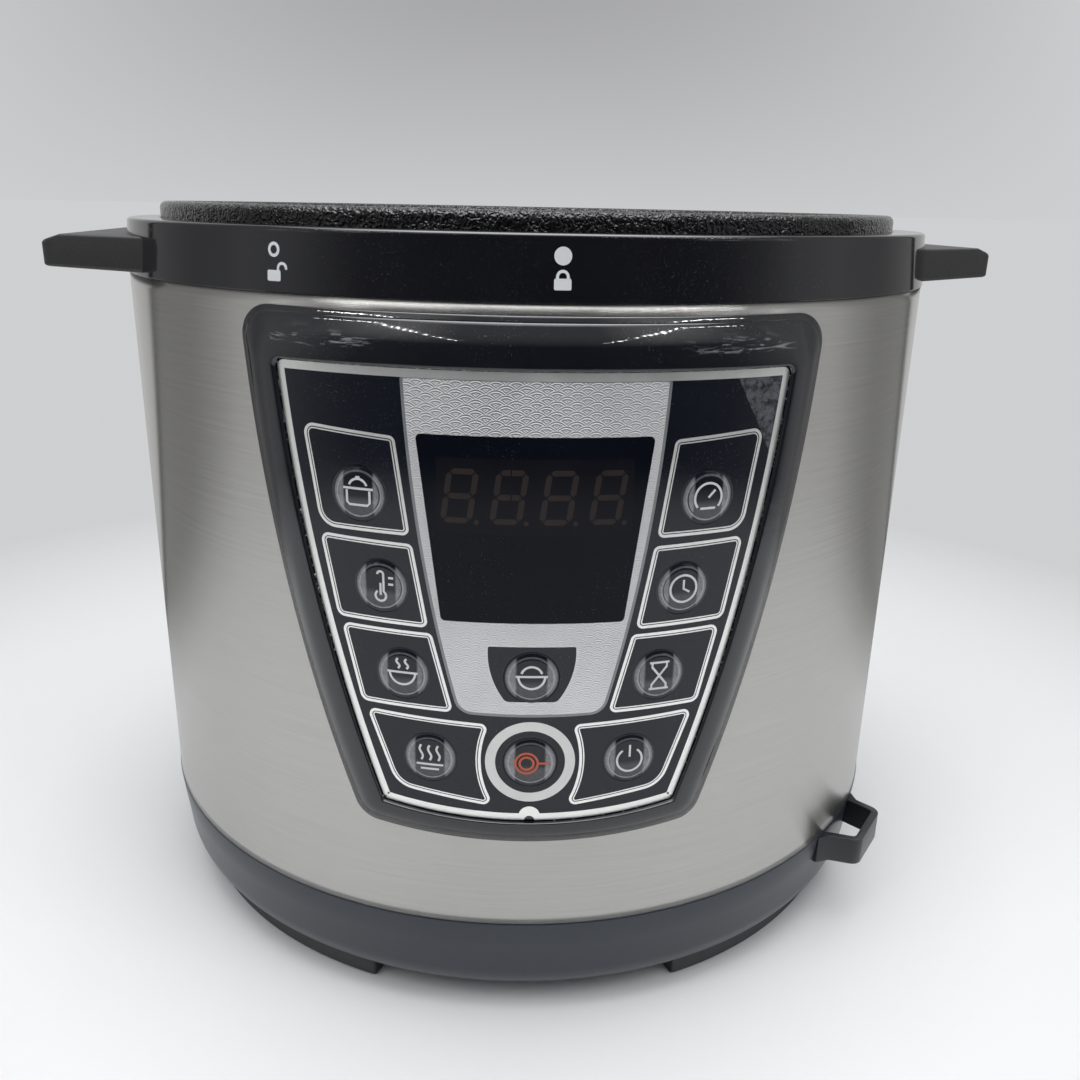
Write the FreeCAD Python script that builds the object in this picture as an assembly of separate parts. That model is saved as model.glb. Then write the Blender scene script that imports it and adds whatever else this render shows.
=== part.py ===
"""Electric pressure cooker, without its lid, as an assembly of separate pieces.

Millimetres. The origin is on the body's axis at the level that the feet stand on,
+Z is up, and the control panel faces -Y.
"""
import FreeCAD, Part
import math
import os

V = FreeCAD.Vector
DOWN = V(0, 0, -1)
UP = V(0, 0, 1)
INWARD = V(0, 1, 0)

# General clearances and walls
seat_gap = 0.1          # between fixed pieces that rest on each other's curved faces
slip_gap = 0.2          # between pieces that push together by hand
key_gap = 0.35          # round a moving key
stem_gap = 0.25         # round a moving switch stem
moulding_wall = 2.5
sheet_wall = 0.7
screw_radius = 1.5
screw_head_radius = 2.9
screw_head_height = 1.5
screw_hole_radius = screw_radius + 0.1

# Body of the cooker, from the feet up
body_radius = 137.0
foot_height = 7.0
base_height = 28.0
shell_height = 180.5
collar_height = 16.3
rim_stand = 5.0         # how far the vessel's rim stands above the collar
base_bottom = foot_height
shell_bottom = base_bottom + base_height
shell_top = shell_bottom + shell_height
collar_top = shell_top + collar_height
rim_top = collar_top + rim_stand
shell_inner = body_radius - sheet_wall
skirt_outer = shell_inner - slip_gap
skirt_inner = skirt_outer - moulding_wall
skirt_length = 6.0

# Base ring, bottom cover and feet
base_overhang = 0.3     # the moulding stands this far proud of the sheet
base_draft = 2.0
base_round = 10.0
base_flange_width = 13.0
base_flange_outer = body_radius + base_overhang - base_draft - base_round
base_flange_inner = base_flange_outer - base_flange_width
cover_thickness = 2.0
foot_outer = base_flange_outer + 3.4
foot_inner = base_flange_outer - 6.8
foot_arc = 46.0         # degrees
foot_azimuths = (45, 135, 225, 315)
cover_radius = foot_inner - 1.5
cover_screw_circle = cover_radius - 2.3 * screw_radius
cover_screw_azimuths = (0, 90, 180, 270)
vent_length = 44.0
vent_width = 3.0
vent_pitch = 9.0
vent_rows = 8

# Collar and handles
collar_overhang = 0.4
collar_draft = 1.2
collar_chamfer = 1.2
handle_turn = 5.9               # degrees by which the handles sit turned from the panel's sides
handle_root_azimuth = 61.7      # from the front to the handle's front edge, before that turn
handle_root_depth = 12.0        # length of that edge inside the body's radius, before the seat is cut
handle_reach = 22.0
handle_corner_reach = 18.0      # outer corner, beyond the body's side
handle_half_length = 45.5       # outer corner, to each side of the handle's middle
handle_thickness = 10.5
handle_tip_drop = 3.5
handle_tip_length = 11.5
handle_underside_rise = 1.0
handle_corner_radius = 6.0
handle_bottom = shell_top + 0.8
handle_screw_spread = 13.0      # degrees either side of the handle's middle

# Pressure vessel and cooking pot
rim_inset = 11.0        # from the body's side to the rim
rim_outer = body_radius - rim_inset
rim_wall = 5.5
rim_ledge = 6.0         # step inside the rim that the pot's lip hangs over
rim_depth = 15.0
vessel_inner = rim_outer - rim_wall - rim_ledge
vessel_wall = 1.5
vessel_outer = vessel_inner + vessel_wall
vessel_floor = shell_bottom + 11.0
vessel_round = 6.0
rim_round = 2.2
rim_base = rim_top - rim_depth
lug_count = 8
lug_arc = 20.0
lug_reach = 4.2
lug_height = 5.0
pot_side_gap = 3.5
pot_radius = vessel_inner - pot_side_gap
pot_wall = 1.5
pot_floor_thickness = 2.0
pot_drop = 12.8         # from the rim's top down to the pot's lip
pot_round = 12.0
pot_lip_width = 2.6
pot_lip_height = 2.0
pot_gap = 0.3           # below the pot and round the sprung sensor

# Heating plate and sensor under the pot
plate_margin = 19.0     # from the pot's side to the plate's edge
plate_radius = pot_radius - plate_margin
plate_thickness = 14.0
plate_round = 4.0
plate_lug_height = 4.5
plate_lug_radius = 7.0
plate_lug_circle = plate_radius - 22.0
plate_lug_azimuths = (0, 120, 240)
plate_bottom = vessel_floor + vessel_wall + plate_lug_height
plate_top = plate_bottom + plate_thickness
pot_bottom = plate_top + pot_gap
pot_top = rim_top - pot_drop
sensor_radius = 12.5
sensor_wall = 1.2
sensor_round = 1.0
sensor_length = 16.0
sensor_travel = 2.0
sensor_bore = sensor_radius + pot_gap
bracket_radius = 16.0
bracket_depth = 11.0
bracket_flange = 22.0
spring_radius = 7.0
spring_wire = 0.5
spring_turns = 8
terminal_radius = 3.0
terminal_length = 13.0
terminal_circle = plate_radius - 34.0
terminal_places = ((-14, terminal_circle), (14, terminal_circle))

# Control panel, as seen from the front: half-widths and heights
bezel_length = 148.5
bezel_top = shell_top - 3.0
bezel_bottom = bezel_top - bezel_length
bezel_half_top = 76.3
bezel_middle = (67.9, bezel_bottom + 71.0)
bezel_low = (48.4, bezel_bottom + 3.5)
bezel_corners = (8.5, 8.0)
bezel_height = 4.0      # in front of the sheet
bezel_edge_round = 3.0
film_top = bezel_top - 13.0
film_half_top = 66.6
film_bottom = bezel_bottom + 9.0
film_middle = (57.3, film_bottom + 62.0)
film_low = (41.2, film_bottom + 3.5)
film_corners = (3.0, 4.5)
film_stand = 3.0        # the film's face in front of the sheet
film_thickness = 0.4
film_face = body_radius + film_stand
floor_face = film_face - film_thickness - 0.05
floor_back = body_radius + seat_gap
cutout_inset = 4.0

# Keys: places across and up the panel, and sizes
key_row_reaches = (45.3, 40.1, 34.8, 27.7)      # from the panel's middle, top row first
key_top_margin = 33.1
key_bottom_margin = 18.7
key_row_pitch = (film_top - film_bottom - key_top_margin - key_bottom_margin) / (len(key_row_reaches) - 1)
key_levels = [film_top - key_top_margin - row * key_row_pitch for row in range(len(key_row_reaches))]
left_keys = ("cook", "low_heat", "stew", "steam")
right_keys = ("pressure", "timer", "delay", "cancel")
rice_level = key_levels[2] + 0.9
brown_level = key_levels[3]
key_radius = 7.4
key_middle_radius = 5.6
key_edge_stand = 0.05
key_stand = 0.55
key_travel = 0.5
key_flange_radius = key_radius + 1.3
key_flange_thickness = 1.2
key_post_radius = 2.2
key_flange_face = floor_back - key_gap

# Display window above the centre keys
window_top = film_top - 16.5
window_bottom = rice_level + 16.0
window_half_top = 30.0
window_half_bottom = 24.0
window_corner = 1.3

# Control board behind the panel
board_thickness = 1.6
board_setback = 8.3     # behind the panel's floor at the outermost keys
board_front = board_setback - math.sqrt(floor_back ** 2 - max(key_row_reaches) ** 2)
board_back = board_front + board_thickness
board_half_width = 50.0
board_low = key_levels[3] - 9.7
board_high = film_top - 3.5
boss_radius = 3.5
boss_high = board_high - 6.0
boss_low = (key_levels[2] + key_levels[3]) / 2
boss_places = ((-36, boss_high), (36, boss_high), (-16, boss_low), (16, boss_low))
switch_size = 6.0
switch_height = 3.5
stem_radius = 1.75
stem_stand = 1.6
stem_depth = 2.0
switch_face = board_front - switch_height
stem_face = switch_face - stem_stand
display_width = 50.3
display_height = 19.0
display_depth = 10.0
display_middle = window_top - 15.3
side_screws = ((67.462, film_top - 14.5), (58.98, bezel_bottom + 56.0))     # in the bezel's sides
middle_screw_levels = (bezel_top - 6.5, bezel_bottom + 4.5)
panel_screw_length = bezel_height

# Mains inlet at the back
inlet_cavity = (24.5, 16.5)
inlet_depth = 20.0
inlet_wall = 1.75
inlet_flange = (50.0, 22.0)
inlet_level = shell_bottom - inlet_flange[1] / 2 - 2.0
inlet_face = body_radius + 3.0
inlet_corner = 4.0
inlet_screw_reach = 19.8
pin_size = (2.0, 4.0)
pin_recess = 5.5
pin_tail = 6.0
pin_places = ((-7, -2), (7, -2), (0, 2))

# Mains board in the base
mains_board_half = 45.0
mains_board_depth = 65.0
mains_board_far = cover_radius - 22.0
mains_board_near = mains_board_far - mains_board_depth
mains_board_bottom = inlet_level - 7.0
mains_board_top = mains_board_bottom + board_thickness
mains_screw_length = mains_board_top - base_bottom - 1.6
mains_post_inset = 5.0
mains_post_radius = 3.0

# Spoon holder on the right of the base
loop_azimuths = (46.4, 50.2, 58.9, 61.4)
loop_outer = body_radius + 12.2
loop_wall = 2.4
loop_corner = 4.0
loop_flare = 1.1                # degrees by which each end widens where it meets the ring
loop_flare_reach = 3.2
loop_root = body_radius - 8.0   # the loop's ends, before the ring's shape is cut away
loop_peg_inset = (1.8, 1.3)     # degrees from each end of the loop to its peg
loop_height = 9.5
loop_low = shell_bottom - loop_height - 0.5
loop_peg_radius = 1.5

# Brackets that carry the vessel
leg_azimuths = (20, 140, 260)
leg_circle = vessel_outer - 8.0
leg_width = 20.0
leg_wall = 2.0
leg_tab = 11.0

# Wiring
wire_radius = 1.2
wire_bend = 3.0
ribbon_width = 14.0
ribbon_thickness = 1.0
ribbon_bend = 4.0


def polar(radius, azimuth, z):
    """Point at an azimuth counted from the front (-Y) towards +X."""
    angle = math.radians(azimuth)
    return V(radius * math.sin(angle), -radius * math.cos(angle), z)


def turned(shape, azimuth):
    """Copy of a shape made at the front, turned round the body's axis."""
    copy = shape.copy()
    copy.rotate(V(0, 0, 0), UP, azimuth)
    return copy


def ring(outer, inner, low, high):
    solid = Part.makeCylinder(outer, high - low, V(0, 0, low))
    return solid.cut(Part.makeCylinder(inner, high - low, V(0, 0, low)))


def box(x0, x1, y0, y1, z0, z1):
    return Part.makeBox(x1 - x0, y1 - y0, z1 - z0, V(x0, y0, z0))


def rod_y(x, z, radius, y0, y1):
    return Part.makeCylinder(radius, y1 - y0, V(x, y0, z), INWARD)


def rod_z(x, y, radius, z0, z1):
    return Part.makeCylinder(radius, z1 - z0, V(x, y, z0))


def round_edges(solid, level):
    """Circular edges of a turned solid that lie at one level."""
    return [e for e in solid.Edges
            if e.Curve.TypeId == "Part::GeomCircle" and abs(e.CenterOfMass.z - level) < 0.1]


def wedge(arc, reach, height):
    """Prism that spans an arc of degrees at the front, from the axis out to a reach."""
    half = math.tan(math.radians(arc / 2)) * reach
    corners = [V(0, 0, 0), V(-half, -reach, 0), V(half, -reach, 0), V(0, 0, 0)]
    return Part.Face(Part.makePolygon(corners)).extrude(UP * height)


def edge_line(start, end):
    return Part.LineSegment(start, end).toShape()


def edge_arc(start, middle, end):
    return Part.Arc(start, middle, end).toShape()


def corner_point(centre_r, centre_z, radius, degrees):
    """Point on a rounded corner of a turned profile."""
    angle = math.radians(degrees)
    return V(centre_r + radius * math.cos(angle), 0, centre_z + radius * math.sin(angle))


def turned_profile(edges):
    """Solid of revolution from the edges of a closed profile in the XZ plane."""
    face = Part.Face(Part.Wire(Part.__sortEdges__(edges)))
    return face.revolve(V(0, 0, 0), UP, 360)


def turned_polygon(points):
    corners = [V(r, 0, z) for r, z in points]
    face = Part.Face(Part.makePolygon(corners + corners[:1]))
    return face.revolve(V(0, 0, 0), UP, 360)


def rounded(prism, direction, radii_at):
    """Round the prism's edges that run along a direction; radii_at gives each radius."""
    result = prism
    for radius, pick in radii_at:
        edges = [e for e in result.Edges
                 if e.Curve.TypeId == "Part::GeomLine"
                 and abs(abs(e.tangentAt(e.FirstParameter).dot(direction)) - 1) < 1e-6
                 and pick(e.CenterOfMass)]
        result = result.makeFillet(radius, edges)
    return result


def screw(head_place, direction, length):
    """Pan-head screw whose head sits at head_place, with its shank along direction."""
    head_end = head_place - direction * screw_head_height
    head = Part.makeCylinder(screw_head_radius, screw_head_height, head_end, direction)
    shank = Part.makeCylinder(screw_radius, length, head_place, direction)
    return head.fuse(shank).removeSplitter()


def screw_hole(place, direction, length):
    return Part.makeCylinder(screw_hole_radius, length, place, direction)


def group(solids):
    return Part.makeCompound(solids)


def bent_path(points, bend):
    """Wire of straight runs joined by tangent arcs of one radius."""
    edges = []
    start = points[0]
    for before, here, after in zip(points, points[1:], points[2:]):
        back = (before - here).normalize()
        ahead = (after - here).normalize()
        half_turn = back.getAngle(ahead) / 2
        reach = bend / math.tan(half_turn)
        middle_direction = (back + ahead).normalize()
        middle = here + middle_direction * (bend / math.sin(half_turn) - bend)
        edges.append(edge_line(start, here + back * reach))
        edges.append(edge_arc(here + back * reach, middle, here + ahead * reach))
        start = here + ahead * reach
    edges.append(edge_line(start, points[-1]))
    return Part.Wire(edges)


def wire_tube(points):
    path = bent_path(points, wire_bend)
    section = Part.Wire(Part.makeCircle(wire_radius, points[0], points[1] - points[0]))
    return path.makePipeShell([section], True, False)


def panel_prism(top, half_top, middle, low, bottom, corners, inset=0.0):
    """Prism towards the front, with the control panel's shield-shaped outline."""
    top_right = V(half_top - inset, 0, top - inset)
    middle_right = V(middle[0] - inset, 0, middle[1])
    low_right = V(low[0] - inset, 0, low[1] + inset)
    mirrored = [V(-p.x, 0, p.z) for p in (top_right, middle_right, low_right)]
    outline = Part.Wire([
        edge_line(mirrored[0], top_right),
        edge_arc(top_right, middle_right, low_right),
        edge_arc(low_right, V(0, 0, bottom + inset), mirrored[2]),
        edge_arc(mirrored[2], mirrored[1], mirrored[0])])
    prism = Part.Face(outline).extrude(INWARD * -(body_radius + 20))
    split = middle[1]
    return rounded(prism, INWARD, (
        (max(corners[0] - inset, 0.5), lambda c: c.z > split),
        (max(corners[1] - inset, 0.5), lambda c: c.z < split)))


def bezel_prism(inset=0.0):
    return panel_prism(bezel_top, bezel_half_top, bezel_middle, bezel_low, bezel_bottom, bezel_corners, inset)


def film_prism(inset=0.0):
    return panel_prism(film_top, film_half_top, film_middle, film_low, film_bottom, film_corners, inset)


def window_prism(inset=0.0):
    top_half = window_half_top - inset
    low_half = window_half_bottom - inset
    corners = [V(-top_half, 0, window_top - inset), V(top_half, 0, window_top - inset),
               V(low_half, 0, window_bottom + inset), V(-low_half, 0, window_bottom + inset)]
    prism = Part.Face(Part.makePolygon(corners + corners[:1])).extrude(INWARD * -(body_radius + 20))
    return rounded(prism, INWARD, ((window_corner, lambda c: True),))


def curved_layer(inner, outer):
    """Cylinder layer that the panel's prisms are cut to."""
    return ring(outer, inner, bezel_bottom - 10, bezel_top + 10)


def key_places():
    left = [(name, -reach, level) for name, reach, level in zip(left_keys, key_row_reaches, key_levels)]
    right = [(name, reach, level) for name, reach, level in zip(right_keys, key_row_reaches, key_levels)]
    return left + right + [("rice", 0.0, rice_level), ("brown", 0.0, brown_level)]


def panel_screw_places():
    """Azimuth and level of each screw that holds the panel to the shell."""
    azimuths = [math.degrees(math.asin(reach / body_radius)) for reach, level in side_screws]
    levels = [level for reach, level in side_screws]
    sides = [(side * azimuth, level) for azimuth, level in zip(azimuths, levels) for side in (-1, 1)]
    return sides + [(0, level) for level in middle_screw_levels]


def base_outline(stand):
    """Outer edges of the base ring's profile, from its top down to its flange, offset outwards by stand."""
    round_centre = (base_flange_outer, base_bottom + base_round)
    top = V(body_radius + base_overhang + stand, 0, shell_bottom)
    side = corner_point(*round_centre, base_round + stand, 0)
    corner = corner_point(*round_centre, base_round + stand, -45)
    low = corner_point(*round_centre, base_round + stand, -90)
    return top, side, corner, low


def base_envelope(stand):
    """Everything inside the base ring's outer surface, for pieces that seat on it."""
    top, side, corner, low = base_outline(stand)
    return turned_profile([
        edge_line(V(0, 0, top.z), top), edge_line(top, side), edge_arc(side, corner, low),
        edge_line(low, V(0, 0, low.z)), edge_line(V(0, 0, low.z), V(0, 0, top.z))])


def base_ring():
    top, side, corner, low = base_outline(0)
    inner_round = base_round - moulding_wall
    centre = (base_flange_outer, base_bottom + base_round)
    inner_side = corner_point(*centre, inner_round, 0)
    inner_corner = corner_point(*centre, inner_round, -45)
    inner_low = corner_point(*centre, inner_round, -90)
    flange_end = V(base_flange_inner, 0, low.z)
    flange_inside = V(base_flange_inner, 0, inner_low.z)
    skirt = [V(skirt_inner, 0, top.z), V(skirt_inner, 0, top.z + skirt_length),
             V(skirt_outer, 0, top.z + skirt_length), V(skirt_outer, 0, top.z)]
    solid = turned_profile([
        edge_line(top, side), edge_arc(side, corner, low), edge_line(low, flange_end),
        edge_line(flange_end, flange_inside), edge_line(flange_inside, inner_low),
        edge_arc(inner_low, inner_corner, inner_side), edge_line(inner_side, skirt[0]),
        edge_line(skirt[0], skirt[1]), edge_line(skirt[1], skirt[2]), edge_line(skirt[2], skirt[3]),
        edge_line(skirt[3], top)])
    solid = solid.cut(inlet_body(slip_gap))
    for side_x in (-inlet_screw_reach, inlet_screw_reach):
        solid = solid.cut(rod_y(side_x, inlet_level, screw_hole_radius, body_radius - 20, inlet_face))
    for peg in loop_pegs(seat_gap):
        solid = solid.cut(peg)
    for azimuth in cover_screw_azimuths:
        solid = solid.cut(screw_hole(polar(cover_screw_circle, azimuth, 0), UP, 20))
    for azimuth in leg_azimuths:
        solid = solid.cut(screw_hole(leg_screw_place(azimuth), DOWN, 20))
    return solid


def bottom_cover():
    bottom = base_bottom - cover_thickness
    solid = rod_z(0, 0, cover_radius, bottom, base_bottom)
    for row in range(vent_rows):
        y = vent_pitch * (row - vent_rows + 1)
        for x in (-vent_length * 0.6, vent_length * 0.6):
            slot = box(x - vent_length / 2, x + vent_length / 2, y - vent_width / 2, y + vent_width / 2,
                       bottom, base_bottom)
            solid = solid.cut(rounded(slot, UP, ((vent_width / 2 - 0.05, lambda c: True),)))
    for x, y in mains_post_places():
        solid = solid.fuse(rod_z(x, y, mains_post_radius, base_bottom - 0.5, mains_board_bottom))
        solid = solid.cut(rod_z(x, y, screw_hole_radius, base_bottom, mains_board_bottom))
    for azimuth in cover_screw_azimuths:
        solid = solid.cut(screw_hole(polar(cover_screw_circle, azimuth, 0), UP, 20))
    return solid.removeSplitter()


def bottom_screws():
    head = base_bottom - cover_thickness
    length = cover_thickness + moulding_wall + 1.0
    return group([screw(polar(cover_screw_circle, a, head), UP, length) for a in cover_screw_azimuths])


def feet():
    """Four curved feet under the base ring's flange."""
    foot = ring(foot_outer, foot_inner, 0, foot_height).common(wedge(foot_arc, foot_outer * 1.5, foot_height))
    return group([turned(foot, azimuth) for azimuth in foot_azimuths])


def body_shell():
    solid = ring(body_radius, shell_inner, shell_bottom + seat_gap, shell_top - seat_gap)
    solid = solid.cut(film_prism(cutout_inset))
    for azimuth, level in panel_screw_places():
        solid = solid.cut(screw_hole(polar(shell_inner - 5, azimuth, level), polar(1, azimuth, 0), 10))
    return solid


def collar_outline(stand):
    top = V(body_radius + collar_overhang - collar_draft + stand, 0, collar_top - collar_chamfer)
    edge = V(body_radius + collar_overhang - collar_draft - collar_chamfer + stand, 0, collar_top)
    return V(body_radius + collar_overhang + stand, 0, shell_top), top, edge


def collar():
    low, top, edge = collar_outline(0)
    well = rim_outer + 0.6
    ledge = rim_base - seat_gap
    lip_inner = vessel_outer + moulding_wall
    solid = turned_polygon([
        (low.x, low.z), (top.x, top.z), (edge.x, edge.z), (well, collar_top), (well, ledge),
        (lip_inner, ledge), (lip_inner, ledge - moulding_wall),
        (well + moulding_wall, ledge - moulding_wall),
        (well + moulding_wall, collar_top - moulding_wall), (skirt_inner, collar_top - moulding_wall),
        (skirt_inner, shell_top - skirt_length), (skirt_outer, shell_top - skirt_length),
        (skirt_outer, shell_top)])
    for place, outward in handle_screw_places():
        solid = solid.cut(screw_hole(place - outward * 2, outward, 12))
    return solid


def handle_blank():
    """Right-hand carrying tab, before its screw holes are made."""
    corner = V(body_radius + handle_corner_reach, -handle_half_length, handle_bottom)
    meeting = polar(body_radius, handle_root_azimuth, handle_bottom)
    root = meeting - (corner - meeting).normalize() * handle_root_depth
    bow = V(body_radius + handle_reach, 0, handle_bottom)
    plan = Part.Wire([
        edge_line(root, corner),
        edge_arc(corner, bow, V(corner.x, -corner.y, corner.z)),
        edge_line(V(corner.x, -corner.y, corner.z), V(root.x, -root.y, root.z)),
        edge_line(V(root.x, -root.y, root.z), root)])
    solid = Part.Face(plan).extrude(UP * handle_thickness)
    solid = rounded(solid, UP, ((handle_corner_radius, lambda c: c.x > body_radius),))
    tip = body_radius + handle_reach + 1
    high = handle_bottom + handle_thickness
    far = -body_radius * 1.5
    side = [V(root.x - 5, far, handle_bottom), V(tip, far, handle_bottom + handle_underside_rise),
            V(tip, far, high - handle_tip_drop), V(tip - handle_tip_length, far, high),
            V(root.x - 5, far, high)]
    solid = solid.common(Part.Face(Part.makePolygon(side + side[:1])).extrude(INWARD * -2 * far))
    low, top, edge = collar_outline(seat_gap)
    seat = turned_polygon([(0, low.z - 1), (low.x, low.z - 1), (low.x, low.z),
                           (top.x, top.z), (edge.x, edge.z), (0, edge.z)])
    return solid.cut(seat)


def handle_screw_places():
    """Seats of the handle screws inside the collar's wall, with the outward direction of each."""
    level = handle_bottom + handle_thickness / 2
    spreads = (-handle_screw_spread, handle_screw_spread)
    azimuths = [side + handle_turn + spread for side in (90, 270) for spread in spreads]
    return [(polar(skirt_inner - 0.3, azimuth, level), polar(1, azimuth, 0)) for azimuth in azimuths]


def handle(side):
    solid = turned(handle_blank(), handle_turn if side > 0 else handle_turn + 180)
    for place, outward in handle_screw_places():
        solid = solid.cut(screw_hole(place, outward, 14))
    return solid


def handle_screws():
    return group([screw(place, outward, 13) for place, outward in handle_screw_places()])


def outer_pot():
    """Pressure vessel with a bayonet rim whose lugs point inwards."""
    floor_top = vessel_floor + vessel_wall
    outside = rod_z(0, 0, vessel_outer, vessel_floor, rim_base + vessel_wall)
    outside = outside.makeFillet(vessel_round, round_edges(outside, vessel_floor))
    inside = rod_z(0, 0, vessel_inner, floor_top, rim_top)
    inside = inside.makeFillet(vessel_round - vessel_wall, round_edges(inside, floor_top))
    flange = rod_z(0, 0, rim_outer, rim_base, rim_base + vessel_wall * 1.4)
    rim = ring(rim_outer, rim_outer - rim_wall, rim_base, rim_top)
    rim = rim.makeFillet(rim_round, round_edges(rim, rim_top))
    lug_inner = rim_outer - rim_wall - lug_reach
    lug_top = rim_top - rim_round
    lug_blank = ring(rim_outer - rim_wall / 2, lug_inner, lug_top - lug_height, lug_top)
    lug = lug_blank.common(wedge(lug_arc, rim_outer * 1.5, rim_top))
    solid = outside.fuse(flange).cut(inside).fuse(rim)
    for number in range(lug_count):
        solid = solid.fuse(turned(lug, (number + 0.5) * 360 / lug_count))
    solid = solid.cut(rod_z(0, 0, bracket_radius, vessel_floor - 1, floor_top + 1))
    for x, y in terminal_places:
        solid = solid.cut(rod_z(x, y, terminal_radius + 2, vessel_floor - 1, floor_top + 1))
    for azimuth in plate_lug_azimuths:
        solid = solid.cut(screw_hole(polar(plate_lug_circle, azimuth, vessel_floor - 1), UP, 5))
    x, y = switch_place()
    solid = solid.cut(rod_z(x, y, stem_radius + 0.4, vessel_floor - 1, floor_top + 1))
    return solid.removeSplitter()


def inner_pot():
    outside = rod_z(0, 0, pot_radius, pot_bottom, pot_top)
    outside = outside.makeFillet(pot_round, round_edges(outside, pot_bottom))
    floor_top = pot_bottom + pot_floor_thickness
    inside = rod_z(0, 0, pot_radius - pot_wall, floor_top, pot_top)
    inside = inside.makeFillet(pot_round - pot_wall, round_edges(inside, floor_top))
    lip = ring(pot_radius + pot_lip_width, pot_radius - pot_wall / 2, pot_top - pot_lip_height, pot_top)
    return outside.cut(inside).fuse(lip).removeSplitter()


def heating_plate():
    solid = rod_z(0, 0, plate_radius, plate_bottom, plate_top)
    solid = solid.makeFillet(plate_round, round_edges(solid, plate_top))
    lug_bottom = plate_bottom - plate_lug_height
    for azimuth in plate_lug_azimuths:
        place = polar(plate_lug_circle, azimuth, 0)
        solid = solid.fuse(rod_z(place.x, place.y, plate_lug_radius, lug_bottom, plate_bottom))
        solid = solid.cut(rod_z(place.x, place.y, screw_hole_radius, lug_bottom, plate_bottom + 6))
    return solid.cut(rod_z(0, 0, sensor_bore, plate_bottom, plate_top)).removeSplitter()


def element_terminals():
    return group([rod_z(x, y, terminal_radius, plate_bottom - terminal_length, plate_bottom)
                  for x, y in terminal_places])


def sensor_cap():
    solid = rod_z(0, 0, sensor_radius, plate_top - sensor_length, plate_top)
    solid = solid.makeFillet(sensor_round, round_edges(solid, plate_top))
    hollow = rod_z(0, 0, sensor_radius - sensor_wall, plate_top - sensor_length, plate_top - sensor_wall)
    return solid.cut(hollow)


def sensor_bracket():
    """Sheet cup hung under the vessel's floor that carries the sensor's spring."""
    low = vessel_floor - bracket_depth
    solid = rod_z(0, 0, bracket_radius, low, vessel_floor)
    solid = solid.fuse(rod_z(0, 0, bracket_flange, vessel_floor - 1.0, vessel_floor))
    solid = solid.cut(rod_z(0, 0, bracket_radius - 1.0, low + 1.0, vessel_floor))
    return solid.cut(rod_z(0, 0, wire_radius + 0.3, low, low + 1.0)).removeSplitter()


def sensor_spring():
    low = vessel_floor - bracket_depth + 1.0 + spring_wire
    high = plate_top - sensor_wall - spring_wire - seat_gap
    helix = Part.makeHelix((high - low) / spring_turns, high - low, spring_radius)
    section = Part.Wire(Part.makeCircle(spring_wire, V(spring_radius, 0, 0), INWARD))
    coil = Part.Wire(helix).makePipeShell([section], True, True)
    coil.translate(V(0, 0, low))
    return coil


def switch_place():
    return 40.0, -22.0


def pressure_switch():
    """Switch on its plate under the vessel, with a pin up to the heating plate."""
    x, y = switch_place()
    solid = box(x - 17, x + 17, y - 8, y + 8, vessel_floor - 1.5, vessel_floor)
    solid = solid.fuse(box(x - 12, x + 12, y - 7, y + 7, vessel_floor - 14, vessel_floor - 1.5))
    solid = solid.fuse(rod_z(x, y, stem_radius, vessel_floor - 2, plate_bottom - pot_gap))
    solid = solid.fuse(rod_z(x, y, 2.5, vessel_floor - 19, vessel_floor - 14))
    return solid.removeSplitter()


def fuse_middle():
    return V(-50.0, -40.0, vessel_floor - 2.4)


def thermal_fuse():
    middle = fuse_middle()
    return Part.makeCylinder(2.0, 16, middle - V(8, 0, 0), V(1, 0, 0))


def fuse_clip():
    middle = fuse_middle()
    block = box(middle.x - 3, middle.x + 3, middle.y - 5, middle.y + 5, middle.z - 3, vessel_floor)
    return block.cut(Part.makeCylinder(2.1, 20, middle - V(10, 0, 0), V(1, 0, 0)))


def leg_screw_place(azimuth):
    return polar(leg_circle + leg_wall + leg_tab * 0.55, azimuth, base_bottom + moulding_wall + leg_wall)


def support_legs():
    """Bent sheet brackets from the base ring's flange up to the vessel's floor."""
    low = base_bottom + moulding_wall
    half = leg_width / 2
    post = box(-half, half, -leg_circle - leg_wall, -leg_circle, low, vessel_floor)
    toe = box(-half, half, -leg_circle - leg_wall - leg_tab, -leg_circle, low, low + leg_wall)
    top = box(-half, half, -leg_circle, -leg_circle + leg_tab, vessel_floor - leg_wall, vessel_floor)
    leg = post.fuse(toe).fuse(top).removeSplitter()
    leg = leg.cut(screw_hole(leg_screw_place(0) + UP, DOWN, 10))
    return group([turned(leg, azimuth) for azimuth in leg_azimuths])


def vessel_screws():
    """Screws that hold the heating plate to the vessel and the vessel's legs to the base."""
    plate = [screw(polar(plate_lug_circle, a, vessel_floor), UP, 10) for a in plate_lug_azimuths]
    legs = [screw(leg_screw_place(a), DOWN, leg_wall + moulding_wall - 0.5) for a in leg_azimuths]
    return group(plate + legs)


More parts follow.
